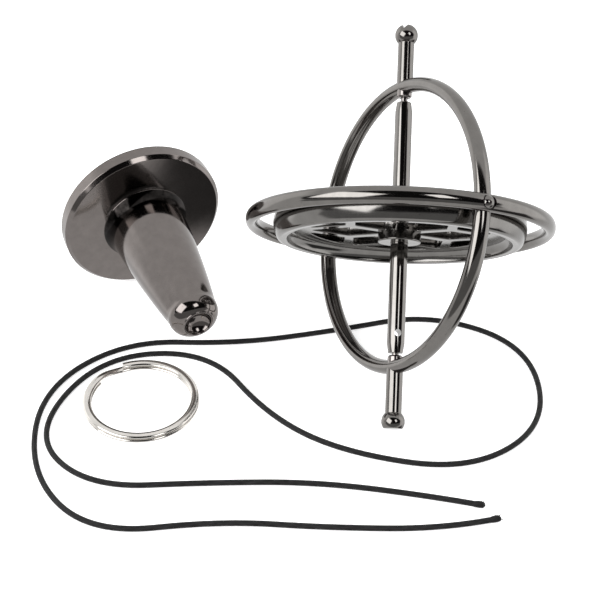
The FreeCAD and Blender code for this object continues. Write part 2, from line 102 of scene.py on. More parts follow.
class GyroscopeFrameSettings(bpy.types.PropertyGroup):
    bar_radial: length("Bar depth", 2.65, "Depth of the oval bar, towards the centre")
    bar_axial: length("Bar width", 3.6, "Width of the oval bar")
    ring_radius: length("Vertical ring radius", 30.1, "Centre line of the vertical ring")
    ring_swell: length("Vertical ring swell", 0.45, "Extra depth of the vertical ring's bar")
    ring_lap: length("Ring lap", 1.08, "How far the horizontal ring laps over the other")
    ring_steps: count("Ring steps", 320, "Steps round each ring", 24)
    bar_steps: count("Bar steps", 44, "Steps round the oval bar", 8)
    rivet_head: length("Rivet head", 2.6, "Diameter of the domed rivet heads")
    rivet_height: length("Rivet height", 0.75, "Height of the domed rivet heads")
    spot_face: length("Spot face", 3.2, "Diameter of the sunk face round each rivet")
    spot_depth: length("Spot face depth", 0.35, "Depth of the sunk face")
    post: length("Post", 3.5, "Diameter of the posts")
    knob: length("Knob", 5.0, "Diameter of the ball knobs")
    knob_centre: length("Knob centre", 41.9, "From the rings' centre to a knob's centre")
    top_flat: length("Top flat", 2.15, "From the top knob's centre to its flat")
    foot_flat: length("Foot flat", 1.5, "From the foot knob's centre to its flat")
    slot_width: length("Slot width", 1.3, "Width of the V slot in the top knob")
    slot_depth: length("Slot depth", 1.25, "Depth of the V slot in the top knob")
    slot_turn: angle("Slot turn", 132.0, "Turn of the slot from the vertical ring's plane")
    cup: length("Bearing cup", 3.2, "Diameter of the bearing cups")
    cup_standoff: length("Cup standoff", 0.83, "How far a cup stands inside the ring")
    cup_bore: length("Cup bore", 1.55, "Bore of the bearing cups")
    cup_depth: length("Cup depth", 1.8, "Depth of the bore")
    cup_edge: length("Cup edge", 0.3, "Chamfer of the cup's face")
    roll: angle("Ring roll", 31.7, "Roll of the vertical ring about the gyroscope's axis")
    edge: length("Edge break", 0.16, "Softness of the turned edges")


class RotorSettings(bpy.types.PropertyGroup):
    drop: length("Rotor drop", 0.295, "How far the rotor sits towards the foot")
    shaft: length("Shaft", 3.72, "Diameter of the shaft")
    shaft_length: length("Shaft length", 54.4, "Length of the shaft")
    shaft_end: length("Shaft end", 3.1, "Diameter of the tapered ends")
    shaft_taper: length("Shaft taper", 2.05, "Length of the tapered ends")
    cord_hole: length("Cord hole", 1.5, "Hole through the shaft for the cord")
    cord_hole_place: length("Cord hole place", 4.2, "From the foot end to the cord hole")
    cord_hole_turn: angle("Cord hole turn", -20.0, "Turn of the cord hole at rest")
    pivot: length("Pivot", 1.45, "Diameter of the pivot pins")
    pivot_reach: length("Pivot reach", 29.42, "From the rotor's centre to a pivot's point")
    pivot_point: length("Pivot point", 0.5, "Height of a pivot's point")
    wheel: length("Flywheel", 54.1, "Diameter of the flywheel")
    rim_height: length("Rim height", 6.7, "Height of the rim")
    rim_extra: length("Rim extra", 0.35, "Extra depth of the rim on the foot's side")
    rim_draft: length("Rim draft", 0.27, "How far the rim's side falls in towards its ends")
    rim_bevel_width: length("Rim bevel width", 0.5, "Width of the bevel round the rim")
    rim_bevel_height: length("Rim bevel height", 1.4, "Height of the bevel round the rim")
    rim_round: length("Rim round", 1.3, "Width of the round between bevel and land")
    land_inner: length("Rim land", 24.0, "Inner radius of the rim's flat land")
    rim_foot: length("Rim foot", 22.6, "Radius at which the rim runs into the web")
    web: length("Web", 3.0, "Thickness of the web")
    web_ring: length("Web ring", 19.3, "Inner radius of the web's plain ring")
    hub: length("Hub", 9.2, "Diameter of the hub")
    hub_height: length("Hub height", 7.0, "Height of the hub")
    spokes: count("Spokes", 6, "Number of forked spokes", 3)
    spoke_width: length("Spoke width", 2.4, "Width of a spoke")
    fork: length("Fork radius", 12.3, "Radius at which a spoke forks")
    fork_angle: angle("Fork angle", 60.0, "Angle between a spoke and its branches")
    branch_width: length("Branch width", 2.2, "Width of a branch")
    window_round: length("Window corner", 0.9, "Rounding of the windows' corners")
    edge: length("Edge break", 0.2, "Softness of the cast edges")
    steps: count("Steps", 256, "Steps round the flywheel", 24)


class StandSettings(bpy.types.PropertyGroup):
    base: length("Base", 36.6, "Diameter of the base")
    thickness: length("Base thickness", 3.8, "Thickness of the base at its rim")
    bevel_height: length("Bevel height", 0.9, "Height of the rim's bevel")
    bevel_width: length("Bevel width", 0.8, "Width of the rim's bevel")
    face_rise: length("Face rise", 0.7, "Rise of the upper face from rim to column")
    height: length("Height", 38.9, "Height of the stand")
    root: length("Root", 19.6, "Diameter of the column's flared root")
    cove_height: length("Cove height", 3.8, "Height of the hollow flare")
    cove_width: length("Cove width", 1.3, "Width of the hollow flare")
    shoulder: length("Shoulder", 11.0, "Diameter below the rounded nose")
    nose: length("Nose", 3.9, "Height of the rounded nose")
    bulge: length("Bulge", 0.35, "Convex swell of the taper")
    lip: length("Cup lip", 6.9, "Diameter of the cup's lip")
    lip_width: length("Lip width", 0.5, "Width of the cup's lip")
    cup_depth: length("Cup depth", 1.8, "Depth of the cup")
    spigot: length("Spigot", 11.0, "Diameter of the spigot in the base")
    spigot_short: length("Spigot recess", 0.6, "Spigot short of the underside")
    place: FloatVectorProperty(
        name="Place", description="Where the underside's centre lies on the table",
        default=(-59.3 * MM, 49.4 * MM), size=2, unit="LENGTH",
    )
    yaw: angle("Yaw", 26.4, "Turn of the column from -Y towards +X")
    dip: angle("Dip", 5.8, "How far the tip points below the horizontal")
    edge: length("Edge break", 0.22, "Softness of the turned edges")
    steps: count("Steps", 224, "Steps round the stand", 24)


class SplitRingSettings(bpy.types.PropertyGroup):
    outside: length("Outside", 24.8, "Outside diameter")
    wire_width: length("Wire width", 1.75, "Width of the flattened wire, across the ring")
    wire_height: length("Wire height", 0.95, "Height of the flattened wire")
    gap: length("Coil gap", 0.04, "Between the two coils")
    place: FloatVectorProperty(
        name="Place", description="Centre of the split ring on the table",
        default=(-53.95 * MM, 4.92 * MM), size=2, unit="LENGTH",
    )
    crossing: angle("Crossing", 134.0, "Where the wire changes level")
    span: angle("Crossing span", 34.0, "Angle over which it changes level")


class CordSettings(bpy.types.PropertyGroup):
    diameter: length("Diameter", 1.2, "Diameter of the cord")
    smooth: count("Smoothness", 14, "Steps along each span of the curve", 4)
    end_length: length("End length", 2.3, "Length of the melted ends")
    end_swell: amount("End swell", 1.2, "Width of a melted end, as a share of the cord", 2.0)
    fibres: count("Fibres", 5, "Loose fibres at each end")
    fibre_length: length("Fibre length", 0.75, "Length of the loose fibres")
    fibre: length("Fibre", 0.09, "Thickness of a loose fibre")


class FinishSettings(bpy.types.PropertyGroup):
    frame_colour: tint("Frame", (0.201, 0.191, 0.181), "Dark plating of the rings and posts")
    wheel_colour: tint("Flywheel", (0.207, 0.199, 0.19), "Dark plating of the flywheel")
    shaft_colour: tint("Shaft", (0.218, 0.208, 0.198), "Dark plating of the shaft")
    stand_colour: tint("Stand", (0.2, 0.18, 0.171), "Dark plating of the stand")
    steel_colour: tint("Steel", (0.27, 0.25, 0.24), "Pivots and bearing cups")
    nickel_colour: tint("Nickel", (0.76, 0.73, 0.69), "Split ring")
    cord_colour: tint("Cord", (0.006, 0.0058, 0.006), "Waxed braid of the cord")
    gloss: amount("Roughness", 0.1, "Mean roughness of the dark plating")


class StageSettings(bpy.types.PropertyGroup):
    camera_place: FloatVectorProperty(
        name="Camera", description="Where the camera stands",
        default=(-3.349 * MM, -263.9 * MM, 250.36 * MM), size=3, unit="LENGTH",
    )
    camera_forward: FloatVectorProperty(
        name="Camera direction", description="Which way the camera looks",
        default=(-0.04730, 0.77291, -0.63274), size=3, subtype="DIRECTION",
    )
    camera_up: FloatVectorProperty(
        name="Camera up", description="Which way is up in the picture",
        default=(-0.03648, 0.63169, 0.77436), size=3, subtype="DIRECTION",
    )
    lens: FloatProperty(name="Lens", description="Focal length", default=103.07, unit="CAMERA")
    floor_size: length("Floor", 3000.0, "Side of the floor")
    floor_colour: tint("Floor colour", (0.93, 0.93, 0.93), "Pale floor")
    floor_glow: amount("Floor glow", 0.3, "Light the floor gives off on the pieces")
    floor_white: amount("Floor white", 0.7, "Light the floor gives off to the camera")
    sky: amount("Room light", 1.0, "Brightness of the room", 10.0)


SETTINGS = {
    "gyroscope_frame": GyroscopeFrameSettings,
    "gyroscope_rotor": RotorSettings,
    "gyroscope_stand": StandSettings,
    "gyroscope_split_ring": SplitRingSettings,
    "gyroscope_cord": CordSettings,
    "gyroscope_finish": FinishSettings,
    "gyroscope_stage": StageSettings,
}


# --- outlines --------------------------------------------------------------------------
def arc_through(start, middle, end, steps):
    """Points on the arc through three points of a plane, both ends included."""
    (ax, ay), (bx, by), (cx, cy) = start, middle, end
    d = 2 * (ax * (by - cy) + bx * (cy - ay) + cx * (ay - by))
    a, b, c = ax * ax + ay * ay, bx * bx + by * by, cx * cx + cy * cy
    ux = (a * (by - cy) + b * (cy - ay) + c * (ay - by)) / d
    uy = (a * (cx - bx) + b * (ax - cx) + c * (bx - ax)) / d
    radius = math.hypot(ax - ux, ay - uy)
    first = math.atan2(ay - uy, ax - ux)
    through = (math.atan2(by - uy, bx - ux) - first) % math.tau
    sweep = (math.atan2(cy - uy, cx - ux) - first) % math.tau
    if through > sweep:
        sweep -= math.tau
    turns = [first + sweep * k / steps for k in range(steps + 1)]
    return [(ux + radius * math.cos(t), uy + radius * math.sin(t)) for t in turns]


def circle_points(radius, first, last, steps):
    """Points on a circle about the origin, from one turn to another."""
    turns = [first + (last - first) * k / steps for k in range(steps + 1)]
    return [(radius * math.cos(t), radius * math.sin(t)) for t in turns]


def along(points, distance):
    """Splits a polyline at a distance: the point there, and the points that follow it."""
    for k, (a, b) in enumerate(zip(points, points[1:])):
        step = (b - a).length
        if distance < step:
            return a.lerp(b, distance / step), points[k + 1:]
        distance -= step
    return points[-1], []


def trimmed(points, before, after):
    """The polyline less a length at each of its ends."""
    first, rest = along(points, before)
    last, rest = along([*reversed(rest), first], after)
    return [*reversed([last, *rest])]


def supported(points, margin):
    """Adds a point near each end of a long first or last run, which keeps its middle flat."""
    first, last = points[1] - points[0], points[-1] - points[-2]
    lead = [points[0] + first.normalized() * margin] if first.length > 3 * margin else []
    tail = [points[-1] - last.normalized() * margin] if last.length > 3 * margin else []
    return [points[0], *lead, *points[1:-1], *tail, points[-1]]


LONGEST_REACH = 0.42  # of a corner's rounding, as a share of the run beside it
SUPPORT = 0.7  # distance of a supporting point from a corner, as a share of its radius


def softened(points, radius, closed=True, steps=5, sharp=math.radians(22)):
    """The outline with each of its corners rounded; gentle turns are left as they are."""
    points = [Vector(p) for p in points]
    points = [p for k, p in enumerate(points) if (p - points[k - 1]).length > POLE or k == 0]
    if closed and (points[0] - points[-1]).length <= POLE:
        points.pop()
    total = len(points)

    def turn(k):
        if not closed and k in (0, total - 1):
            return 0.0
        run_in = points[k] - points[k - 1]
        run_out = points[(k + 1) % total] - points[k]
        return run_in.angle(run_out)

    corners = [k for k in range(total) if turn(k) > sharp]
    stops = corners if closed else [0, *corners, total - 1]
    if not corners:
        return points
    runs = []
    ends = [*stops[1:], stops[0] + total] if closed else stops[1:]
    for first, last in zip(stops, ends):
        runs.append([points[k % total] for k in range(first, last + 1)])
    spans = [sum((b - a).length for a, b in zip(run, run[1:])) for run in runs]
    reach = {}
    for number, k in enumerate(stops):
        room = [spans[number - 1]] if closed or number > 0 else []
        room += [spans[number]] if number < len(spans) else []
        reach[k] = min(radius * math.tan(turn(k) / 2), LONGEST_REACH * min(room))
    made = []
    for number, run in enumerate(runs):
        first, last = stops[number], stops[(number + 1) % len(stops)]
        kept = supported(trimmed(run, reach[first], reach[last]), radius * SUPPORT)
        made += kept
        is_end = not closed and number == len(runs) - 1
        if is_end:
            break
        after, _ = along(runs[(number + 1) % len(runs)], reach[last])
        corner, before = run[-1], kept[-1]
        for k in range(1, steps):
            t = k / steps
            made.append(before * (1 - t) ** 2 + corner * 2 * t * (1 - t) + after * t * t)
    return made


# --- meshes ----------------------------------------------------------------------------
def taken(bm):
    """The bmesh as a mesh; the bmesh is used up."""
    mesh = bpy.data.meshes.new("mesh")
    bm.to_mesh(mesh)
    bm.free()
    return mesh


def finished_mesh(bm):
    """The bmesh as a smooth mesh, with its faces pointing outwards."""
    bmesh.ops.recalc_face_normals(bm, faces=bm.faces)
    return smooth(taken(bm))


def smooth(mesh, sharp=math.radians(32)):
    """Shades the mesh smooth and stores its points' places before it is laid down."""
    mesh.shade_smooth()
    mesh.set_sharp_from_angle(angle=sharp)
    if "workpiece" in mesh.attributes:
        mesh.attributes.remove(mesh.attributes["workpiece"])
    made = mesh.attributes.new("workpiece", "FLOAT_VECTOR", "POINT")
    places = [0.0] * (3 * len(mesh.vertices))
    mesh.vertices.foreach_get("co", places)
    made.data.foreach_set("vector", places)
    return mesh


def lathe(outline, steps, closed=False):
    """Outline of (radius, height) points turned about Z."""
    bm = bmesh.new()
    turns = [math.tau * k / steps for k in range(steps)]
    rows = []
    for radius, height in outline:
        if radius < POLE:
            rows.append([bm.verts.new((0, 0, height))])
        else:
            ring = [(radius * math.cos(t), radius * math.sin(t), height) for t in turns]
            rows.append([bm.verts.new(place) for place in ring])
    pairs = list(zip(rows, rows[1:]))
    if closed:
        pairs.append((rows[-1], rows[0]))
    for low, high in pairs:
        for k in range(steps):
            after = (k + 1) % steps
            corners = [low[k % len(low)], low[after % len(low)]]
            corners += [high[after % len(high)], high[k % len(high)]]
            corners = list(dict.fromkeys(corners))
            if len(corners) > 2:
                bm.faces.new(corners)
    return finished_mesh(bm)


def plate(loops, half, edge, steps=4):
    """Flat plate of outlines, the outer one first, with rounded edges all round."""
    bm = bmesh.new()
    tops, bottoms, flat = [], [], []
    for number, loop in enumerate(loops):
        loop = [Vector(p) for p in loop]
        total = len(loop)
        area = sum(loop[k - 1].cross(loop[k]) for k in range(total))
        if (area > 0) != (number == 0):
            loop.reverse()
        rows = []
        for k in range(2 * steps + 2):
            quarter = min(k, steps) if k <= steps else 2 * steps + 1 - k
            phi = math.pi / 2 * (1 - quarter / steps)
            level = half - edge + edge * math.sin(phi)
            level = level if k <= steps else -level
            row = []
            for i in range(total):
                along_loop = (loop[(i + 1) % total] - loop[i - 1]).normalized()
                inwards = Vector((-along_loop.y, along_loop.x))
                place = loop[i] + inwards * edge * (1 - math.cos(phi))
                row.append(bm.verts.new((place.x, place.y, level)))
            rows.append(row)
        for upper, lower in zip(rows, rows[1:]):
            for i in range(total):
                after = (i + 1) % total
                bm.faces.new((upper[i], lower[i], lower[after], upper[after]))
        tops.append(rows[0])
        bottoms.append(rows[-1])
    for rings in (tops, bottoms):
        flattened = [v for ring in rings for v in ring]
        shape = [[Vector((v.co.x, v.co.y, 0)) for v in ring] for ring in rings]
        for corners in tessellate_polygon(shape):
            flat.append(bm.faces.new([flattened[c] for c in corners]))
    bmesh.ops.recalc_face_normals(bm, faces=bm.faces)
    bm.faces.index_update()
    marks = {f.index for f in flat}
    mesh = finished_mesh(bm)
    for polygon in mesh.polygons:
        polygon.use_smooth = polygon.index not in marks
    return mesh


def tube(path, radii, sides):
    """Closed tube with a round section that follows a path."""
    bm = bmesh.new()
    rows = []
    for k, point in enumerate(path):
        heading = (path[min(k + 1, len(path) - 1)] - path[max(k - 1, 0)]).normalized()
        across = heading.cross(Z_AXIS)
        if across.length < POLE:
            across = Vector((1, 0, 0))
        across.normalize()
        up = across.cross(heading)
        row = []
        for s in range(sides):
            t = math.tau * s / sides
            outwards = across * math.cos(t) + up * math.sin(t)
            row.append(bm.verts.new(point + outwards * radii[k]))
        rows.append(row)
    for a, b in zip(rows, rows[1:]):
        for s in range(sides):
            after = (s + 1) % sides
            bm.faces.new((a[s], a[after], b[after], b[s]))
    bm.faces.new(rows[0])
    bm.faces.new(rows[-1])
    return finished_mesh(bm)


def joined(*meshes):
    """Several meshes as one; they are used up."""
    bm = bmesh.new()
    for mesh in meshes:
        bm.from_mesh(mesh)
        bpy.data.meshes.remove(mesh)
    return taken(bm)


def cut(mesh, *cutters):
    """The mesh less the cutters, by Blender's exact boolean."""
    body = bpy.data.objects.new("body", mesh)
    bpy.context.scene.collection.objects.link(body)
    tools = []
    for cutter in cutters:
        tool = bpy.data.objects.new("cutter", cutter)
        bpy.context.scene.collection.objects.link(tool)
        tools.append(tool)
        modifier = body.modifiers.new("cut", "BOOLEAN")
        modifier.operation = "DIFFERENCE"
        modifier.solver = "EXACT"
        modifier.object = tool
    made = plain_mesh(body)
    for thing in (body, *tools):
        old = thing.data
        bpy.data.objects.remove(thing)
        bpy.data.meshes.remove(old)
    return smooth(made)


def plain_mesh(obj):
    """The object's evaluated shape as a mesh of its own."""
    graph = bpy.context.evaluated_depsgraph_get()
    return bpy.data.meshes.new_from_object(obj.evaluated_get(graph), depsgraph=graph)


# --- nodes -----------------------------------------------------------------------------
class Nodes:
    """Adds nodes to a node tree and gives back their outputs."""

    def __init__(self, tree):
        self.tree = tree

    def add(self, kind, links=None, **facts):
        """A node with its facts set, and its inputs linked to a socket or given a value."""
        node = self.tree.nodes.new(kind)
        for name, value in facts.items():
            setattr(node, name, value)
        for name, source in (links or {}).items():
            if isinstance(source, bpy.types.NodeSocket):
                self.tree.links.new(source, node.inputs[name])
            else:
                node.inputs[name].default_value = source
        return node.outputs

    def maths(self, operation, *values):
        """The result of one sum."""
        return self.add("ShaderNodeMath", dict(enumerate(values)), operation=operation)[0]

    def vector(self, operation, *values):
        """The outputs of one sum with vectors."""
        return self.add("ShaderNodeVectorMath", dict(enumerate(values)), operation=operation)

    def ranged(self, source, low, high, to_low, to_high, **facts):
        """The source's range from low to high, carried over to another range."""
        return self.add(
            "ShaderNodeMapRange",
            {"Value": source, "From Min": low, "From Max": high, "To Min": to_low,
             "To Max": to_high}, **facts,
        )[0]


# --- geometry nodes --------------------------------------------------------------------
class Tree(Nodes):
    """A geometry node tree with named inputs, built one node at a time."""

    def __init__(self, name, inputs):
        super().__init__(bpy.data.node_groups.new(name, "GeometryNodeTree"))
        for label, kind in inputs:
            self.tree.interface.new_socket(label, in_out="INPUT", socket_type=kind)
        self.tree.interface.new_socket(
            "Geometry", in_out="OUTPUT", socket_type="NodeSocketGeometry"
        )
        self.inputs = self.tree.nodes.new("NodeGroupInput").outputs

    def finish(self, geometry):
        """Ends the tree in plain geometry of the given material."""
        realized = self.add("GeometryNodeRealizeInstances", {"Geometry": geometry})
        coated = self.add(
            "GeometryNodeSetMaterial",
            {"Geometry": realized[0], "Material": self.inputs["Material"]},
        )
        end = self.tree.nodes.new("NodeGroupOutput")
        self.tree.links.new(coated[0], end.inputs[0])
        return self.tree


def swept_bar_tree():
    """Sweeps an oval bar along the curve it is given."""
    tree = Tree("Swept Bar", [
        ("Geometry", "NodeSocketGeometry"), ("Across", "NodeSocketFloat"),
        ("Along Axis", "NodeSocketFloat"), ("Bar Steps", "NodeSocketInt"),
        ("Caps", "NodeSocketBool"), ("Material", "NodeSocketMaterial"),
    ])
    given = tree.inputs
    facing = tree.add(
        "GeometryNodeSetCurveNormal", {"Curve": given["Geometry"]}, mode="Z_UP"
    )
    circle = tree.add(
        "GeometryNodeCurvePrimitiveCircle", {"Resolution": given["Bar Steps"], "Radius": 0.5}
    )
    size = tree.add(
        "ShaderNodeCombineXYZ", {"X": given["Across"], "Y": given["Along Axis"], "Z": 1.0}
    )
    oval = tree.add("GeometryNodeTransform", {"Geometry": circle[0], "Scale": size[0]})
    bar = tree.add(
        "GeometryNodeCurveToMesh",
        {"Curve": facing[0], "Profile Curve": oval[0], "Fill Caps": given["Caps"]},
    )
    return tree.finish(bar[0])


def turned_copies_tree():
    """Copies a piece at even turns about an axis."""
    tree = Tree("Turned Copies", [
        ("Geometry", "NodeSocketGeometry"), ("Copies", "NodeSocketInt"),
        ("Axis", "NodeSocketVector"), ("Material", "NodeSocketMaterial"),
    ])
    given = tree.inputs
    points = tree.add("GeometryNodePoints", {"Count": given["Copies"]})
    index = tree.add("GeometryNodeInputIndex")
    turn = tree.maths("MULTIPLY", tree.maths("DIVIDE", index[0], given["Copies"]), math.tau)
    spin = tree.add(
        "ShaderNodeVectorMath", {0: given["Axis"], "Scale": turn}, operation="SCALE"
    )
    copies = tree.add(
        "GeometryNodeInstanceOnPoints",
        {"Points": points[0], "Instance": given["Geometry"], "Rotation": spin[0]},
    )
    return tree.finish(copies[0])


SHORTEST_FIBRE = 0.45  # as a share of the longest


def loose_fibres_tree():
    """Fine fibres that stand out of the points they are given, along the points' normals."""
    tree = Tree("Loose Fibres", [
        ("Geometry", "NodeSocketGeometry"), ("Length", "NodeSocketFloat"),
        ("Thickness", "NodeSocketFloat"), ("Seed", "NodeSocketInt"),
        ("Material", "NodeSocketMaterial"),
    ])
    given = tree.inputs
    strand = tree.add(
        "GeometryNodeCurvePrimitiveBezierSegment",
        {"Resolution": 8, "Start": (0, 0, -0.25), "Start Handle": (0.03, 0, 0.2),
         "End Handle": (-0.09, 0.1, 0.7), "End": (0.13, 0.16, 1.0)},
    )
    width = tree.maths("DIVIDE", given["Thickness"], given["Length"])
    section = tree.add("GeometryNodeCurvePrimitiveCircle", {"Resolution": 6, "Radius": 0.5})
    across = tree.add("ShaderNodeCombineXYZ", {"X": width, "Y": width, "Z": 1.0})
    sized = tree.add("GeometryNodeTransform", {"Geometry": section[0], "Scale": across[0]})
    hair = tree.add(
        "GeometryNodeCurveToMesh",
        {"Curve": strand[0], "Profile Curve": sized[0], "Fill Caps": True},
    )
    facing = tree.add("GeometryNodeInputNormal")
    aim = tree.add("FunctionNodeAlignEulerToVector", {"Vector": facing[0]}, axis="Z")
    roll = tree.add(
        "FunctionNodeRandomValue",
        {"Min": (0, 0, 0), "Max": (0, 0, math.tau), "Seed": given["Seed"]},
        data_type="FLOAT_VECTOR",
    )
    rolled = tree.add(
        "FunctionNodeRotateEuler", {"Rotation": aim[0], "Rotate By": roll[0]}, space="LOCAL"
    )
    share = tree.add(
        "FunctionNodeRandomValue", {2: SHORTEST_FIBRE, 3: 1.0, "Seed": given["Seed"]},
        data_type="FLOAT",
    )
    reach = tree.maths("MULTIPLY", share[1], given["Length"])
    placed = tree.add(
        "GeometryNodeInstanceOnPoints",
        {"Points": given["Geometry"], "Instance": hair[0], "Rotation": rolled[0],
         "Scale": reach},
    )
    return tree.finish(placed[0])


TREES = {}


def grown(data, tree, **values):
    """The mesh that a node tree makes from a curve or mesh; its data is used up."""
    if tree not in TREES:
        TREES[tree] = tree()
    holder = bpy.data.objects.new("holder", data)
    bpy.context.scene.collection.objects.link(holder)
    modifier = holder.modifiers.new("nodes", "NODES")
    modifier.node_group = TREES[tree]
    sockets = {
        item.name: item.identifier
        for item in TREES[tree].interface.items_tree
        if item.item_type == "SOCKET" and item.in_out == "INPUT"
    }
    for label, value in values.items():
        modifier[sockets[label.replace("_", " ").title()]] = value
    made = plain_mesh(holder)
    holder.modifiers.clear()
    bpy.data.objects.remove(holder)
    return made


def poly_curve(points, closed):
    """The points as a curve of straight runs."""
    curve = bpy.data.curves.new("path", "CURVE")
    curve.dimensions = "3D"
    spline = curve.splines.new("POLY")
    spline.points.add(len(points) - 1)
    for place, point in zip(spline.points, points):
        place.co = (*point, 1.0)
    spline.use_cyclic_u = closed
    return curve


# --- materials -------------------------------------------------------------------------
class Finish(Nodes):
    """A node material for one finish, built around a Principled shader."""

    def __init__(self, name):
        self.material = bpy.data.materials.new(name)
        self.material.use_nodes = True
        super().__init__(self.material.node_tree)
        self.shader = self.tree.nodes["Principled BSDF"]

    def place(self):
        """Where a point lies on its workpiece, before the piece is laid down."""
        return self.add("ShaderNodeAttribute", attribute_name="workpiece")["Vector"]

    def noise(self, place, scale, detail=3.0, roughness=0.5):
        return self.add(
            "ShaderNodeTexNoise",
            {"Vector": place, "Scale": scale, "Detail": detail, "Roughness": roughness},
        )["Fac"]

    def bump(self, height, distance, strength, normal=None):
        links = {"Height": height, "Distance": distance, "Strength": strength}
        if normal is not None:
            links["Normal"] = normal
        return self.add("ShaderNodeBump", links)[0]

    def colour(self, share, first, second):
        """Mixes the base colour; a share over one goes past the second colour."""
        mix = self.tree.nodes.new("ShaderNodeMix")
        mix.data_type = "RGBA"
        mix.clamp_factor = False
        self.tree.links.new(share, mix.inputs[0])
        mix.inputs[6].default_value = (*first, 1.0)
        mix.inputs[7].default_value = (*second, 1.0)
        self.tree.links.new(mix.outputs[2], self.shader.inputs["Base Color"])

    def wire(self, name, source):
        self.tree.links.new(source, self.shader.inputs[name])

    def fix(self, **values):
        for name, value in values.items():
            label = name.replace("_", " ").title().replace("Ior", "IOR")
            self.shader.inputs[label].default_value = value


# Marks in the plating: how fine they are, per metre, and how deep in metres.
CLOUDS = 110.0
SMEARS = 420.0
PIT_PATCHES = 700.0
PIT_SPACING = 950.0
PIT_DEPTH = 6e-6
ORANGE_PEEL = (260.0, 14e-6)
GRAIN = (1500.0, 1.2e-6)
TOOL_MARKS = (4200.0, 2.2e-6)
DULLEST = 1.35  # roughness against its mean, and the glossiest
GLOSSIEST = 0.7
STAIN_AND_PAINTED_SHADE = 0.55  # brightness of stained plating against clean; the painted shade darkens towards it and past it
PAINTED_SHADE_STRENGTH = 1.9  # strength of the painted shade in a recess: darker colour that stands in for the dark reflection there
PAINTED_SHADE_EDGES = (0.1 * MM, 0.5 * MM)  # over which it comes in and goes out


def plated(name, colour, gloss, peel=1.0, pits=1.0, turned=0.0, recess=None):
    """Bright plating with orange peel, fine pits and, on a turned piece, faint tool marks.
    A recess, given by its two heights, gets painted shade: its colour is darkened there to
    stand in for the dark reflection that it shows."""
    finish = Finish(name)
    place = finish.place()
    clouds = finish.noise(place, CLOUDS, 4.0)
    smear = finish.noise(place, SMEARS, 5.0, 0.6)
    roughness = finish.ranged(clouds, 0.3, 0.7, gloss * GLOSSIEST, gloss * DULLEST)
    finish.wire("Roughness", roughness)
    specks = finish.add(
        "ShaderNodeTexVoronoi", {"Vector": place, "Scale": PIT_SPACING, "Randomness": 1.0},
        feature="F1",
    )["Distance"]
    pit = finish.ranged(specks, 0.05, 0.16, 1.0, 0.0)
    rare = finish.ranged(finish.noise(place, PIT_PATCHES, 2.0), 0.52, 0.62, 0.0, 1.0)
    pit = finish.maths("MULTIPLY", pit, rare)
    stain_and_painted_shade = finish.ranged(smear, 0.3, 0.7, 0.0, 0.3)
    stain_and_painted_shade = finish.maths("ADD", stain_and_painted_shade, finish.maths("MULTIPLY", pit, 0.6 * pits))
    # Painted shade: the recess is darkened in the base colour, in place of the dark reflection
    # it shows.
    if recess:
        height = finish.add("ShaderNodeSeparateXYZ", {"Vector": place})["Z"]
        low, high = recess
        come_in, go_out = PAINTED_SHADE_EDGES
        above = finish.ranged(height, low, low + come_in, 0.0, PAINTED_SHADE_STRENGTH)
        below = finish.ranged(height, high - go_out, high, 1.0, 0.0)
        stain_and_painted_shade = finish.maths("ADD", stain_and_painted_shade, finish.maths("MULTIPLY", above, below))
    finish.colour(stain_and_painted_shade, colour, [c * STAIN_AND_PAINTED_SHADE for c in colour])
    fineness, depth = ORANGE_PEEL
    normal = finish.bump(finish.noise(place, fineness, 2.0), depth * peel, 0.8)
    fineness, depth = GRAIN
    normal = finish.bump(finish.noise(place, fineness, 3.0), depth * peel, 0.8, normal)
    normal = finish.bump(pit, -PIT_DEPTH * pits, 0.7, normal)
    if turned:
        flat = finish.vector("MULTIPLY", place, (1.0, 1.0, 0.0))[0]
        radius = finish.vector("LENGTH", flat)["Value"]
        rings = finish.add("ShaderNodeCombineXYZ", {"X": radius})[0]
        fineness, depth = TOOL_MARKS
        normal = finish.bump(finish.noise(rings, fineness, 2.0), depth * turned, 0.6, normal)
    finish.wire("Normal", normal)
    finish.fix(Metallic=1.0)
    return finish.material


BRAID_PITCH = 3.2  # length of one turn of a strand, in cord diameters
STRANDS_ROUND = 4.0  # strands that cross a section, each way
BRAID_DEPTH = 0.07 * MM
RUBBED = 3.2  # brightness of a rubbed strand against the cord's
FUZZ = 5200.0  # how fine the fuzz and the worn patches are, per metre
WORN_PATCHES = 300.0


def braided(name, colour, diameter, length):
    """Waxed braid: strands that cross in two directions, read from the cord's own UV."""
    finish = Finish(name)
    uv = finish.add("ShaderNodeTexCoord")["UV"]
    turns = length / (diameter * BRAID_PITCH)
    strands = []
    for lean in (1.0, -1.0):
        sized = finish.vector("MULTIPLY", uv, (turns, STRANDS_ROUND * lean, 0.0))[0]
        split = finish.add("ShaderNodeSeparateXYZ", {"Vector": sized})
        wave = finish.maths("MULTIPLY", finish.maths("ADD", split["X"], split["Y"]), math.tau)
        strands.append(finish.maths("SINE", wave))
    weave = finish.maths("MAXIMUM", *strands)
    place = finish.add("ShaderNodeTexCoord")["Object"]
    fuzz = finish.noise(place, FUZZ, 4.0, 0.7)
    patches = finish.noise(place, WORN_PATCHES, 3.0)
    height = finish.maths("ADD", fuzz, weave)
    worn = finish.ranged(weave, -0.2, 1.0, 0.0, 0.45)
    light = finish.ranged(patches, 0.35, 0.7, 0.0, 0.5)
    finish.colour(finish.maths("ADD", worn, light), colour, [c * RUBBED for c in colour])
    finish.wire("Roughness", finish.ranged(fuzz, 0.3, 0.7, 0.5, 0.75))
    finish.wire("Normal", finish.bump(height, BRAID_DEPTH, 0.9))
    finish.fix(Sheen_Weight=0.04, Sheen_Roughness=0.5, Specular_IOR_Level=0.3)
    return finish.material


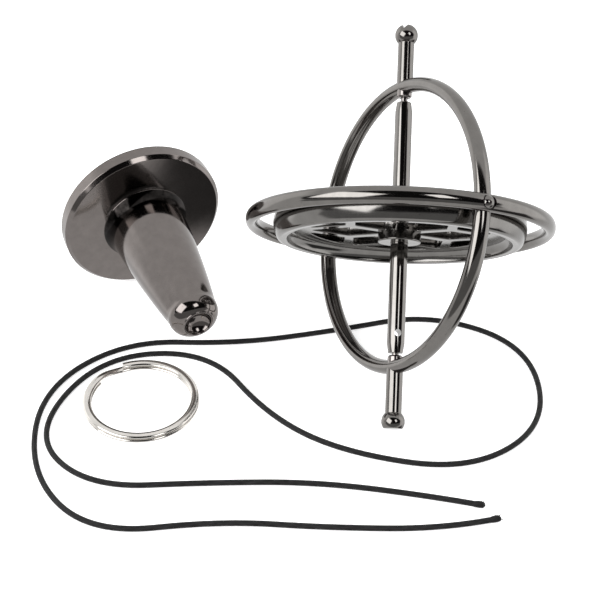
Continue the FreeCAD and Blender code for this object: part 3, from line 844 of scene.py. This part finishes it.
def pale_floor(name, colour, glow, seen):
    """Floor that gives off a little light, and more of it towards the camera."""
    finish = Finish(name)
    finish.fix(Base_Color=(*colour, 1.0), Roughness=0.9, Specular_IOR_Level=0.0)
    finish.fix(Emission_Color=(1.0, 1.0, 1.0, 1.0))
    eye = finish.add("ShaderNodeLightPath")["Is Camera Ray"]
    finish.wire("Emission Strength", finish.ranged(eye, 0.0, 1.0, glow, seen))
    return finish.material


# --- placing and handing over ------------------------------------------------------------
def gyroscope_place(scene):
    """From the gyroscope's own frame to the table."""
    axis = Vector(SPIN["axis"]).normalized()
    lean = math.atan2(axis.z, axis.y)
    tip_over = Matrix.Rotation(lean - math.pi / 2, 4, "X")
    roll = Matrix.Rotation(scene.gyroscope_frame.roll - math.pi / 2, 4, "Z")
    return Matrix.Translation(SPIN["pos_m"]) @ tip_over @ roll


def rotor_place(scene):
    """From the rotor's own frame to the table."""
    return gyroscope_place(scene) @ Matrix.Translation((0, 0, -scene.gyroscope_rotor.drop))


def stand_place(scene):
    """The stand lies on the edge of its base's bevel."""
    size = scene.gyroscope_stand
    edge = size.thickness - size.bevel_height
    height = edge * math.sin(size.dip) + size.base / 2 * math.cos(size.dip)
    level = math.cos(size.dip)
    direction = Vector(
        (level * math.sin(size.yaw), -level * math.cos(size.yaw), -math.sin(size.dip))
    )
    turn = Z_AXIS.rotation_difference(direction).to_matrix().to_4x4()
    return Matrix.Translation((*size.place, height)) @ turn


def hand_over(mesh, name, material, place, body, slot, *nodes):
    """The finished mesh as a piece of the set that stands for its CAD nodes."""
    mesh.name = name
    mesh.transform(place)
    mesh.materials.clear()
    mesh.materials.append(material)
    piece = bpy.data.objects.new(name, mesh)
    bpy.context.scene.collection.objects.link(piece)
    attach(piece, body)
    if nodes:
        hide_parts(*nodes)
    return piece


def cylinder(radius, low, high, steps, axis="Z"):
    """Plain rod between two heights, stood on Z or laid along X."""
    outline = [(0, low), (radius, low), (radius, high), (0, high)]
    mesh = lathe(outline, steps)
    if axis == "X":
        mesh.transform(Matrix.Rotation(math.pi / 2, 4, "Y"))
    return mesh


COVE_PAINTED_SHADE_FROM = 0.1 * MM  # above the base's face, where the painted shade of the hollow flare begins
FINISHES = {}


def finish_named(scene, name):
    """Makes each finish once."""
    if name in FINISHES:
        return FINISHES[name]
    look = scene.gyroscope_finish
    gloss = look.gloss
    cord = scene.gyroscope_cord
    stand = scene.gyroscope_stand
    seat = stand.thickness + stand.face_rise
    # Heights of the hollow flare, which get painted shade in the stand's colour.
    flare = (seat + COVE_PAINTED_SHADE_FROM, seat + stand.cove_height)
    makers = {
        "Dark Plating": lambda: plated(name, look.frame_colour, gloss),
        "Flywheel Plating": lambda: plated(name, look.wheel_colour, gloss * 1.25, 1.5, 1.5),
        "Shaft Plating": lambda: plated(name, look.shaft_colour, gloss * 0.7, 0.6, 0.6),
        "Stand Plating": lambda: plated(name, look.stand_colour, gloss, 0.8, 1.0, 1.0, flare),
        "Bright Steel": lambda: plated(name, look.steel_colour, gloss * 1.4, 0.3, 0.2, 1.0),
        "Bright Nickel": lambda: plated(name, look.nickel_colour, gloss * 1.2, 0.5, 0.8),
        "Waxed Braid": lambda: braided(name, look.cord_colour, cord.diameter, CORD_LENGTH),
    }
    FINISHES[name] = makers[name]()
    return FINISHES[name]


# --- gyroscope frame ---------------------------------------------------------------------
SWELL_OUTWARDS = 0.45  # share of the vertical ring's extra depth that moves its centre line


def ring_mesh(radius, depth, size, material):
    """A ring of oval bar, in the plane z = 0."""
    points = [(*p, 0.0) for p in circle_points(radius, 0, math.tau, size.ring_steps)[:-1]]
    return grown(
        poly_curve(points, True), swept_bar_tree, across=depth,
        along_axis=size.bar_axial, bar_steps=size.bar_steps, caps=False, material=material,
    )


def outer_radius(size):
    """Centre line of the horizontal ring."""
    return size.ring_radius + size.bar_radial - size.ring_lap


class GYROSCOPE_OT_rings(bpy.types.Operator):
    """Builds the vertical and the horizontal ring from the same oval bar"""

    bl_idname = "gyroscope.rings"
    bl_label = "Rings"

    def execute(self, context):
        scene = context.scene
        size = scene.gyroscope_frame
        plating = finish_named(scene, "Dark Plating")
        place = gyroscope_place(scene)
        depth = size.bar_radial + size.ring_swell
        radius = size.ring_radius + SWELL_OUTWARDS * size.ring_swell
        upright = ring_mesh(radius, depth, size, plating)
        upright.transform(Matrix.Rotation(math.pi / 2, 4, "X"))
        hand_over(smooth(upright), "vertical_ring_plated", plating, place, "gyroscope_frame",
                  "dark_plating", "vertical_ring")
        level = ring_mesh(outer_radius(size), size.bar_radial, size, plating)
        outside = outer_radius(size) + size.bar_radial / 2
        floor = outside - size.spot_depth
        spots = [cylinder(size.spot_face / 2, floor, outside * 1.1, 48, "X") for _ in range(2)]
        spots[1].transform(Matrix.Rotation(math.pi, 4, "Z"))
        level = cut(level, *spots)
        hand_over(level, "horizontal_ring_plated", plating, place, "gyroscope_frame",
                  "dark_plating", "horizontal_ring")
        return {"FINISHED"}


class GYROSCOPE_OT_rivets(bpy.types.Operator):
    """Builds the domed rivets that join the rings"""

    bl_idname = "gyroscope.rivets"
    bl_label = "Rivets"

    def execute(self, context):
        scene = context.scene
        size = scene.gyroscope_frame
        plating = finish_named(scene, "Dark Plating")
        floor = outer_radius(size) + size.bar_radial / 2 - size.spot_depth
        radius = size.rivet_head / 2
        dome = (radius ** 2 + size.rivet_height ** 2) / (2 * size.rivet_height)
        half = math.asin(radius / dome) / 2
        crown = floor + size.rivet_height
        middle = (dome * math.sin(half), crown - dome + dome * math.cos(half))
        outline = [(0, floor - size.spot_depth), (radius, floor - size.spot_depth)]
        outline += arc_through((radius, floor), middle, (0, crown), 12)
        rivet = lathe(softened(outline, size.edge / 2, closed=False), 48)
        rivet.transform(Matrix.Rotation(math.pi / 2, 4, "Y"))
        pair = grown(rivet, turned_copies_tree, copies=2, axis=(0, 0, 1), material=plating)
        hand_over(smooth(pair), "ring_rivets_plated", plating, gyroscope_place(scene),
                  "gyroscope_frame", "dark_plating", "ring_rivets")
        return {"FINISHED"}


def post_mesh(size, flat):
    """Rod with a ball knob that is cut flat at its end."""
    knob = size.knob / 2
    rod = size.post / 2
    neck = size.knob_centre - math.sqrt(knob ** 2 - rod ** 2)
    rim = math.sqrt(knob ** 2 - flat ** 2)
    end = size.knob_centre + flat
    outline = [(0, size.ring_radius), (rod, size.ring_radius)]
    outline += arc_through((rod, neck), (knob, size.knob_centre), (rim, end), 40)
    outline.append((0, end))
    return lathe(softened(outline, size.edge, closed=False), 96)


SLOT_ROUND = 0.18 * MM  # of the bottom of the V slot


def slot_cutter(size):
    """Prism for the V groove across the top knob."""
    top = size.knob_centre + size.top_flat
    corners = [(0, top - size.slot_depth), (size.slot_width, top + size.slot_depth),
               (-size.slot_width, top + size.slot_depth)]
    outline = softened(corners, SLOT_ROUND)
    bm = bmesh.new()
    ends = []
    for side in (-size.knob, size.knob):
        ends.append([bm.verts.new((side, y, z)) for y, z in outline])
    bm.faces.new(ends[0])
    bm.faces.new(ends[1])
    for k in range(len(outline)):
        bm.faces.new((ends[0][k - 1], ends[0][k], ends[1][k], ends[1][k - 1]))
    mesh = finished_mesh(bm)
    mesh.transform(Matrix.Rotation(size.slot_turn, 4, "Z"))
    return mesh


class GYROSCOPE_OT_posts(bpy.types.Operator):
    """Builds the top post with its slotted knob and the foot post"""

    bl_idname = "gyroscope.posts"
    bl_label = "Posts"

    def execute(self, context):
        scene = context.scene
        size = scene.gyroscope_frame
        plating = finish_named(scene, "Dark Plating")
        place = gyroscope_place(scene)
        top = cut(post_mesh(size, size.top_flat), slot_cutter(size))
        hand_over(top, "top_post_plated", plating, place, "gyroscope_frame",
                  "dark_plating", "top_post")
        foot = post_mesh(size, size.foot_flat)
        foot.transform(Matrix.Rotation(math.pi, 4, "X"))
        hand_over(smooth(foot), "foot_post_plated", plating, place, "gyroscope_frame",
                  "dark_plating", "foot_post")
        return {"FINISHED"}


class GYROSCOPE_OT_cups(bpy.types.Operator):
    """Builds the two bearing cups inside the vertical ring"""

    bl_idname = "gyroscope.cups"
    bl_label = "Bearing cups"

    def execute(self, context):
        scene = context.scene
        size = scene.gyroscope_frame
        steel = finish_named(scene, "Bright Steel")
        face = size.ring_radius - size.bar_radial / 2 - size.cup_standoff
        radius = size.cup / 2
        bore = size.cup_bore / 2
        outline = [
            (0, size.ring_radius), (radius, size.ring_radius), (radius, face + size.cup_edge),
            (radius - size.cup_edge, face), (bore, face), (bore, face + size.cup_depth),
            (0, face + size.cup_depth),
        ]
        cup = lathe(softened(outline, size.edge / 2, closed=False), 64)
        pair = grown(cup, turned_copies_tree, copies=2, axis=(1, 0, 0), material=steel)
        hand_over(smooth(pair), "bearing_cups_steel", steel, gyroscope_place(scene),
                  "gyroscope_frame", "bright_steel", "bearing_cups")
        return {"FINISHED"}


# --- rotor -------------------------------------------------------------------------------
def turned_outline(points, turn):
    """The outline turned about the origin."""
    return [(x * math.cos(turn) - y * math.sin(turn), x * math.sin(turn) + y * math.cos(turn))
            for x, y in points]


def kite_window(size):
    """Outline between two spokes: hub, both spokes and two branches, centred on +X."""
    pitch = math.pi / size.spokes
    half = size.spoke_width / 2
    spoke = Vector((math.cos(pitch), math.sin(pitch)))
    aside = Vector((spoke.y, -spoke.x))
    lean = pitch - size.fork_angle
    branch = Vector((math.cos(lean), math.sin(lean)))
    inside = Vector((branch.y, -branch.x)) * size.branch_width / 2
    start = spoke * size.fork + inside
    reach = (start - aside * half).dot(aside) / -branch.dot(aside)
    corner = start + branch * reach
    tip = start + branch * (-start.y / branch.y)
    hub = size.hub / 2
    opening = pitch - math.asin(half / hub)
    return [
        *circle_points(hub, -opening, opening, 10), tuple(corner), tuple(tip),
        (corner.x, -corner.y),
    ]


def rim_window(size):
    """Outline beyond a fork: two branches and the web's plain ring, centred on +X."""
    branch = Vector((math.cos(size.fork_angle), math.sin(size.fork_angle)))
    outside = Vector((branch.y, -branch.x)) * size.branch_width / 2
    start = Vector((size.fork, 0)) + outside
    apex = start + branch * (-start.y / branch.y)
    middle = apex.dot(branch)
    reach = -middle + math.sqrt(middle ** 2 + size.web_ring ** 2 - apex.length_squared)
    far = apex + branch * reach
    opening = math.atan2(far.y, far.x)
    return [tuple(apex), *circle_points(size.web_ring, -opening, opening, 36)]


RIM_HOLLOW = (0.35, 0.3)  # middle of the hollow wall: share of its width in, of its height up
RIM_CROWN = (0.3, 0.25)  # middle of the rim's round: share of its width in, of its fall down
RIM_WIDEST = 0.1  # height of the widest line, as a share of the rim's half height
RIM_RUN_IN = 0.5  # how deep the rim's foot is buried, as a share of the web's half thickness
CORE_OVERLAP = 0.02 * MM  # of the hub over the shaft
WEB_OVERLAP = (0.1 * MM, 0.3 * MM)  # of the web into the rim and into the hub
HUB_SOFTER = 1.6  # rounding of the hub's edges, as a share of the cast edges'


def half_rim(size, top):
    """Upper half of the rim's section, from the web to the middle of its side."""
    radius = size.wheel / 2
    web = size.web / 2
    wall = size.land_inner - size.rim_foot
    cove = (size.land_inner - RIM_HOLLOW[0] * wall, web + RIM_HOLLOW[1] * (top - web))
    upper = arc_through((size.rim_foot, web), cove, (size.land_inner, top), 12)
    side = radius - size.rim_draft
    bevel = side - size.rim_bevel_width
    fall = size.rim_bevel_height / 2
    crown = (bevel - RIM_CROWN[0] * size.rim_round, top - RIM_CROWN[1] * fall)
    upper += arc_through((bevel - size.rim_round, top), crown, (bevel, top - fall), 10)
    upper += [(side, size.rim_height / 2 - size.rim_bevel_height), (radius, RIM_WIDEST * top)]
    return upper


def rim_outline(size):
    """Section of the rim, a little deeper on the foot's side and run into the web."""
    half = size.rim_height / 2
    foot = half_rim(size, half + size.rim_extra)
    lower = [(r, -z) for r, z in reversed(foot)]
    inside = size.rim_foot + RIM_HOLLOW[0] * (size.land_inner - size.rim_foot)
    depth = size.web / 2 * RIM_RUN_IN
    return [*half_rim(size, half), *lower, (inside, -depth), (inside, depth)]


class GYROSCOPE_OT_flywheel(bpy.types.Operator):
    """Builds the flywheel: a heavy rim, a web with forked spokes and a hub"""

    bl_idname = "gyroscope.flywheel"
    bl_label = "Flywheel"

    def execute(self, context):
        scene = context.scene
        size = scene.gyroscope_rotor
        plating = finish_named(scene, "Flywheel Plating")
        rim = lathe(softened(rim_outline(size), size.edge), size.steps, closed=True)
        hub = size.hub / 2
        high = size.hub_height / 2
        bore = size.shaft / 2 - CORE_OVERLAP
        section = [(bore, -high), (hub, -high), (hub, high), (bore, high)]
        boss = lathe(softened(section, size.edge * HUB_SOFTER), 128, closed=True)
        into_rim, into_hub = WEB_OVERLAP
        loops = [
            circle_points(size.rim_foot + into_rim, 0, math.tau, size.steps)[:-1],
            circle_points(hub - into_hub, 0, math.tau, 96)[:-1],
        ]
        pitch = math.tau / size.spokes
        for number in range(size.spokes):
            for window, turn in ((kite_window(size), 0), (rim_window(size), pitch / 2)):
                outline = softened(window, size.window_round, steps=8)
                loops.append(turned_outline(outline, number * pitch + turn))
        wheel = joined(rim, boss, plate(loops, size.web / 2, size.edge))
        flat = {p.index for p in wheel.polygons if not p.use_smooth}
        smooth(wheel)
        for polygon in wheel.polygons:
            polygon.use_smooth = polygon.index not in flat
        hand_over(wheel, "flywheel_plated", plating, rotor_place(scene), "rotor",
                  "flywheel_plating", "flywheel")
        return {"FINISHED"}


SHAFT_ROUND = 0.1 * MM
PIN_ROUND = 0.06 * MM
PIN_SHOWN_FROM = 1.0 * MM  # inside the shaft's end


class GYROSCOPE_OT_shaft(bpy.types.Operator):
    """Builds the shaft with its cord hole"""

    bl_idname = "gyroscope.shaft"
    bl_label = "Shaft"

    def execute(self, context):
        scene = context.scene
        size = scene.gyroscope_rotor
        plating = finish_named(scene, "Shaft Plating")
        half = size.shaft_length / 2
        radius = size.shaft / 2
        end = size.shaft_end / 2
        points = [(0, -half), (end, -half), (radius, -half + size.shaft_taper)]
        points += [(r, -z) for r, z in reversed(points)]
        outline = softened(points, SHAFT_ROUND, closed=False, sharp=math.radians(10))
        shaft = lathe(outline, 96)
        hole = cylinder(size.cord_hole / 2, -2 * radius, 2 * radius, 40, "X")
        hole.transform(Matrix.Rotation(size.cord_hole_turn, 4, "Z"))
        hole.transform(Matrix.Translation((0, 0, -half + size.cord_hole_place)))
        hand_over(cut(shaft, hole), "rotor_shaft_plated", plating, rotor_place(scene),
                  "rotor", "shaft_plating", "rotor_shaft")
        return {"FINISHED"}


class GYROSCOPE_OT_pivots(bpy.types.Operator):
    """Builds the two pivot pins"""

    bl_idname = "gyroscope.pivots"
    bl_label = "Pivot pins"

    def execute(self, context):
        scene = context.scene
        size = scene.gyroscope_rotor
        steel = finish_named(scene, "Bright Steel")
        radius = size.pivot / 2
        low = size.shaft_length / 2 - PIN_SHOWN_FROM
        outline = [(0, low), (radius, low), (radius, size.pivot_reach - size.pivot_point),
                   (0, size.pivot_reach)]
        pin = lathe(softened(outline, PIN_ROUND, closed=False), 48)
        pair = grown(pin, turned_copies_tree, copies=2, axis=(1, 0, 0), material=steel)
        hand_over(smooth(pair), "pivot_pins_steel", steel, rotor_place(scene), "rotor",
                  "bright_steel", "pivot_pins")
        return {"FINISHED"}


# --- stand -------------------------------------------------------------------------------
NOSE_MIDDLE = (0.74, 0.38)  # of the nose's round: share of its width out, of its height down


def base_outline(size):
    """Half section of the base, from its bore out to its rim and up to its seat."""
    rim = size.base / 2
    bore = size.spigot / 2
    seat = size.thickness + size.face_rise
    return [
        (bore, 0), (rim, 0), (rim, size.thickness - size.bevel_height),
        (rim - size.bevel_width, size.thickness), (size.root / 2, seat), (bore, seat),
    ]


def column_outline(size):
    """Half section of the column: spigot, hollow flare, swelling taper, nose and cup."""
    bore = size.spigot / 2
    seat = size.thickness + size.face_rise
    root = (size.root / 2, seat)
    waist = (size.root / 2 - size.cove_width, seat + size.cove_height)
    shoulder = (size.shoulder / 2, size.height - size.nose)
    width, height = root[0] - waist[0], waist[1] - root[1]
    hollow = (width ** 2 + height ** 2) / (2 * width)
    half = math.asin(height / hollow) / 2
    cove = (waist[0] + hollow * (1 - math.cos(half)), waist[1] - hollow * math.sin(half))
    taper = ((waist[0] + shoulder[0]) / 2 + size.bulge, (waist[1] + shoulder[1]) / 2)
    lip = size.lip / 2
    low = size.height - size.lip_width / 2
    out, down = NOSE_MIDDLE
    nose = (lip + out * (shoulder[0] - lip), size.height - down * size.nose)
    inner = lip - size.lip_width
    dish = (inner ** 2 + size.cup_depth ** 2) / (2 * size.cup_depth)
    half = math.asin(min(1.0, inner / dish)) / 2
    floor = low - size.cup_depth
    bowl = (dish * math.sin(half), floor + dish * (1 - math.cos(half)))
    crest = (lip - size.lip_width / 2, size.height)
    return [
        (0, size.spigot_short), (bore, size.spigot_short), (bore, seat),
        *arc_through(root, cove, waist, 14),
        *arc_through(waist, taper, shoulder, 28),
        *arc_through(shoulder, nose, (lip, low), 20),
        *arc_through((lip, low), crest, (inner, low), 10),
        *arc_through((inner, low), bowl, (0, floor), 14),
    ]


class GYROSCOPE_OT_stand(bpy.types.Operator):
    """Builds the stand: its turned base and its tapered column"""

    bl_idname = "gyroscope.stand"
    bl_label = "Stand"

    def execute(self, context):
        scene = context.scene
        size = scene.gyroscope_stand
        plating = finish_named(scene, "Stand Plating")
        place = stand_place(scene)
        base = lathe(softened(base_outline(size), size.edge), size.steps, closed=True)
        hand_over(base, "stand_base_plated", plating, place, "stand", "stand_plating",
                  "stand_base")
        outline = softened(
            column_outline(size), size.edge / 2, closed=False, sharp=math.radians(30)
        )
        hand_over(lathe(outline, size.steps), "stand_column_plated", plating, place, "stand",
                  "stand_plating", "stand_column")
        return {"FINISHED"}


# --- split ring --------------------------------------------------------------------------
SPLIT_RING_STEPS = 420  # along both coils


class GYROSCOPE_OT_split_ring(bpy.types.Operator):
    """Builds the split ring: two coils of wire and the crossing between them"""

    bl_idname = "gyroscope.split_ring"
    bl_label = "Split ring"

    def execute(self, context):
        scene = context.scene
        size = scene.gyroscope_split_ring
        nickel = finish_named(scene, "Bright Nickel")
        radius = (size.outside - size.wire_width) / 2
        low = size.wire_height / 2
        rise = size.wire_height + size.gap
        first = size.crossing + size.span / 2
        coil = math.tau - size.span
        whole = 2 * coil + size.span
        points = []
        for k in range(SPLIT_RING_STEPS + 1):
            turned = whole * k / SPLIT_RING_STEPS
            share = min(1.0, max(0.0, (turned - coil) / size.span))
            level = low + rise * (1 - math.cos(math.pi * share)) / 2
            turn = first + turned
            points.append((radius * math.cos(turn), radius * math.sin(turn), level))
        mesh = grown(
            poly_curve(points, False), swept_bar_tree, across=size.wire_width,
            along_axis=size.wire_height, bar_steps=32, caps=True, material=nickel,
        )
        place = Matrix.Translation((*size.place, 0.0))
        hand_over(smooth(mesh), "split_ring_nickel", nickel, place, "stand", "bright_nickel",
                  "split_ring")
        return {"FINISHED"}


# --- pull cord ---------------------------------------------------------------------------
# Control points of the cord's curve on the table, in millimetres.
CORD_ROUTE = (
    (21.6, -25.0), (10.8, -28.5), (-12.1, -29.5), (-33.7, -28.9), (-59.0, -34.0),
    (-73.9, -18.4), (-76.1, 7.4), (-60.0, 24.6), (-35.7, 25.0), (-14.4, 30.5),
    (7.7, 38.0), (29.6, 28.1), (32.8, 2.9), (16.2, -12.1), (-9.9, -8.2),
    (-26.5, 2.0), (-40.9, 22.2), (-65.0, 19.0), (-75.7, -6.2), (-61.9, -21.3),
    (-36.8, -18.4), (-15.3, -17.0), (7.4, -19.5), (18.5, -21.6),
)
CORD_LENGTH = 0.496
END_STEPS = 14
END_INSIDE = 0.8  # share of a melted end's length that lies back along the cord
END_TIP = 0.28  # share of it that its tip rounds off
END_LEAST = 0.12  # of the cord's radius, at the very tip
END_WAVE = 0.05  # unevenness, as a share of the radius
END_DRIFT = 0.12  # sideways, as a share of the radius


def melted_end(end, before, size, seed):
    """A melted, slightly clubbed end in line with the cord."""
    heading = (end - before).normalized()
    aside = heading.cross(Z_AXIS)
    radius = size.diameter / 2
    path, radii = [], []
    for k in range(END_STEPS + 1):
        share = k / END_STEPS
        out = math.sin(math.pi * min(1.0, share * 1.08)) * (size.end_swell - 1.0)
        tip = math.sqrt(max(0.0, 1 - max(0.0, share - 1 + END_TIP) ** 2 / END_TIP ** 2))
        wave = END_WAVE * math.sin(5.1 * share * math.tau + seed)
        drift = aside * END_DRIFT * radius * math.sin(3.0 * share + seed)
        path.append(end + heading * size.end_length * (share - END_INSIDE) + drift)
        radii.append(radius * max(END_LEAST, (0.99 + out + wave * share) * tip))
        path[-1].z = max(path[-1].z, radii[-1])
    return tube(path, radii, 28)


ROOT_SIZE = 0.01 * MM  # of the small faces that the fibres stand on
ROOT_OUT = 0.42  # of the fibres' roots from the cord's centre line, in cord diameters
ROOT_BACK = 0.3  # between one root and the next along the cord, in cord diameters


def fibre_roots(end, before, size, seed):
    """A few points round a cord end, whose normals lean outwards, for the fibres."""
    heading = (end - before).normalized()
    aside = heading.cross(Z_AXIS)
    bm = bmesh.new()
    for k in range(size.fibres):
        turn = math.tau * (k + 0.37 * seed) / size.fibres
        around = aside * math.cos(turn) + Z_AXIS * abs(math.sin(turn))
        lean = (heading * (0.9 if k % 2 else 0.35) + around * 0.6).normalized()
        root = end + (around * ROOT_OUT - heading * ROOT_BACK * (k % 3)) * size.diameter
        tangent = lean.orthogonal().normalized() * ROOT_SIZE
        other = lean.cross(tangent)
        corners = [root + tangent, root + other, root - tangent - other]
        bm.faces.new([bm.verts.new(c) for c in corners])
    return taken(bm)


def cord_object(points, size, braid):
    """The cord as a bevelled curve along its control points."""
    curve = bpy.data.curves.new("pull_cord_braided", "CURVE")
    curve.dimensions = "3D"
    curve.resolution_u = size.smooth
    spline = curve.splines.new("NURBS")
    spline.points.add(len(points) - 1)
    for control, point in zip(spline.points, points):
        control.co = (*point, 1.0)
    spline.order_u = 3
    spline.use_endpoint_u = True
    curve.bevel_depth = size.diameter / 2
    curve.bevel_resolution = 7
    curve.use_fill_caps = True
    curve.materials.append(braid)
    cord = bpy.data.objects.new("pull_cord_braided", curve)
    bpy.context.scene.collection.objects.link(cord)
    cord.visible_glossy = False  # or the plating shows a black line round every piece
    return cord


class GYROSCOPE_OT_cord(bpy.types.Operator):
    """Lays the pull cord on the table, with its two melted ends"""

    bl_idname = "gyroscope.cord"
    bl_label = "Pull cord"

    def execute(self, context):
        scene = context.scene
        size = scene.gyroscope_cord
        braid = finish_named(scene, "Waxed Braid")
        points = [Vector((x * MM, y * MM, size.diameter / 2)) for x, y in CORD_ROUTE]
        cord = cord_object(points, size, braid)
        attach(cord, "stand")
        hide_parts("pull_cord")
        ends = ((points[0], points[1]), (points[-1], points[-2]))
        lumps = [melted_end(*end, size, 1.3 * k) for k, end in enumerate(ends)]
        melts = hand_over(smooth(joined(*lumps)), "cord_melted_ends", braid,
                          Matrix.Identity(4), "stand", "cord_black")
        fibres = [
            grown(
                fibre_roots(*end, size, k + 1), loose_fibres_tree, length=size.fibre_length,
                thickness=size.fibre, seed=5 + k, material=braid,
            )
            for k, end in enumerate(ends)
        ]
        frays = hand_over(smooth(joined(*fibres)), "cord_frayed_fibres", braid,
                          Matrix.Identity(4), "stand", "cord_black")
        return {"FINISHED"}


# --- stage ---------------------------------------------------------------------------------
# Azimuth from +Y towards +X, elevation, half width and half height in degrees, softness of
# the edges, and brightness against the room's.  Later panels cover earlier ones.
ROOM_PANELS = (
    (-60.0, 0.0, 20.0, 30.0, 0.3, 1.5),
    (84.0, 2.0, 26.0, 34.0, 0.3, 1.6),
    (180.0, 52.0, 76.0, 32.0, 0.10, 0.015),
    (180.0, 3.0, 72.0, 17.0, 0.10, 0.3),
    (-127.0, 36.0, 24.0, 19.0, 0.14, 4.2),
    (138.0, 45.0, 8.0, 11.0, 0.14, 4.0),
    (112.0, -38.0, 18.0, 14.0, 0.2, 0.08),
)


def panel_cover(nodes, panel):
    """How far a panel covers the direction that is looked in, from nought to one."""
    azimuth, elevation, wide, high, soft = panel
    looked_at = nodes.add("ShaderNodeTexCoord")["Generated"]
    a, e = math.radians(azimuth), math.radians(elevation)
    centre = Vector((math.sin(a) * math.cos(e), math.cos(a) * math.cos(e), math.sin(e)))
    side = Vector((math.cos(a), -math.sin(a), 0.0))

    def dot(direction):
        return nodes.vector("DOT_PRODUCT", looked_at, tuple(direction))["Value"]

    front = dot(centre)
    cover = nodes.maths("GREATER_THAN", front, 0.0)
    for axis, reach in ((side, wide), (side.cross(centre), high)):
        reach = math.tan(math.radians(reach))
        off = nodes.maths("DIVIDE", dot(axis), nodes.maths("MAXIMUM", front, 0.001))
        share = nodes.ranged(
            nodes.maths("ABSOLUTE", off), reach * (1 - soft), reach * (1 + soft), 1.0, 0.0,
            interpolation_type="SMOOTHSTEP",
        )
        cover = nodes.maths("MULTIPLY", cover, share)
    return cover


def room(brightness):
    """World: a pale tent, white to the camera, with its dark mouth round the camera, a dark
    screen low on the right and a few bright panels that the reflections show."""
    world = bpy.data.worlds.new("Room")
    world.use_nodes = True
    nodes = Nodes(world.node_tree)
    level = brightness
    for *panel, value in ROOM_PANELS:
        step = nodes.maths("SUBTRACT", value * brightness, level)
        level = nodes.maths("MULTIPLY_ADD", panel_cover(nodes, panel), step, level)
    seen = nodes.add("ShaderNodeLightPath")["Is Camera Ray"]
    background = world.node_tree.nodes["Background"]
    background.inputs["Color"].default_value = (1.0, 1.0, 1.0, 1.0)
    strength = nodes.maths("MAXIMUM", level, seen)
    world.node_tree.links.new(strength, background.inputs["Strength"])
    bpy.context.scene.world = world


FLOOR_BELOW = 0.02 * MM  # under the pieces, which stand on z = 0


def floor_sheet(size):
    """The pale floor under the pieces, which the plating's reflections leave out."""
    half = size.floor_size / 2
    bm = bmesh.new()
    corners = [(-half, -half), (half, -half), (half, half), (-half, half)]
    bm.faces.new([bm.verts.new((x, y, 0)) for x, y in corners])
    mesh = taken(bm)
    mesh.materials.append(
        pale_floor("Pale Floor", size.floor_colour, size.floor_glow, size.floor_white)
    )
    floor = bpy.data.objects.new("floor", mesh)
    floor.location.z = -FLOOR_BELOW
    floor.visible_glossy = False
    bpy.context.scene.collection.objects.link(floor)
    return floor


def viewer(size):
    """The camera, aimed by the way it looks and its upward side."""
    camera = bpy.data.cameras.new("camera")
    camera.lens = size.lens
    camera.sensor_width = 36.0
    camera.clip_start = 0.01
    camera.clip_end = 20.0
    forward = Vector(size.camera_forward).normalized()
    right = forward.cross(Vector(size.camera_up)).normalized()
    turn = Matrix((right, right.cross(forward), -forward)).transposed().to_4x4()
    stood = bpy.data.objects.new("camera", camera)
    stood.matrix_world = Matrix.Translation(size.camera_place) @ turn
    bpy.context.scene.collection.objects.link(stood)
    return stood


class GYROSCOPE_OT_stage(bpy.types.Operator):
    """Sets out the pale floor, the studio light and the camera"""

    bl_idname = "gyroscope.stage"
    bl_label = "Stage"

    def execute(self, context):
        scene = context.scene
        size = scene.gyroscope_stage
        room(size.sky)
        scene.camera = viewer(size)
        scene.view_settings.view_transform = "Standard"
        floor_sheet(size)
        return {"FINISHED"}


OPERATORS = (
    GYROSCOPE_OT_rings, GYROSCOPE_OT_rivets, GYROSCOPE_OT_posts, GYROSCOPE_OT_cups,
    GYROSCOPE_OT_flywheel, GYROSCOPE_OT_shaft, GYROSCOPE_OT_pivots, GYROSCOPE_OT_stand,
    GYROSCOPE_OT_split_ring, GYROSCOPE_OT_cord, GYROSCOPE_OT_stage,
)


class GYROSCOPE_PT_panel(bpy.types.Panel):
    """Buttons and sizes of the gyroscope set"""

    bl_idname = "GYROSCOPE_PT_panel"
    bl_label = "Gyroscope Set"
    bl_space_type = "VIEW_3D"
    bl_region_type = "UI"
    bl_category = "Gyroscope"

    def draw(self, context):
        for operator in OPERATORS:
            self.layout.operator(operator.bl_idname)
        for name, group in SETTINGS.items():
            box = self.layout.box()
            box.label(text=name.replace("_", " ").title())
            for setting in group.__annotations__:
                box.prop(getattr(context.scene, name), setting)


def register():
    for group in SETTINGS.values():
        bpy.utils.register_class(group)
    for name, group in SETTINGS.items():
        setattr(bpy.types.Scene, name, PointerProperty(type=group))
    for operator in (*OPERATORS, GYROSCOPE_PT_panel):
        bpy.utils.register_class(operator)


def unregister():
    for operator in reversed((*OPERATORS, GYROSCOPE_PT_panel)):
        bpy.utils.unregister_class(operator)
    for name in SETTINGS:
        delattr(bpy.types.Scene, name)
    for group in reversed(list(SETTINGS.values())):
        bpy.utils.unregister_class(group)


def main():
    register()
    bpy.ops.gyroscope.rings()
    bpy.ops.gyroscope.rivets()
    bpy.ops.gyroscope.posts()
    bpy.ops.gyroscope.cups()
    bpy.ops.gyroscope.flywheel()
    bpy.ops.gyroscope.shaft()
    bpy.ops.gyroscope.pivots()
    bpy.ops.gyroscope.stand()
    bpy.ops.gyroscope.split_ring()
    bpy.ops.gyroscope.cord()
    bpy.ops.gyroscope.stage()


if __name__ == "__main__":
    main()
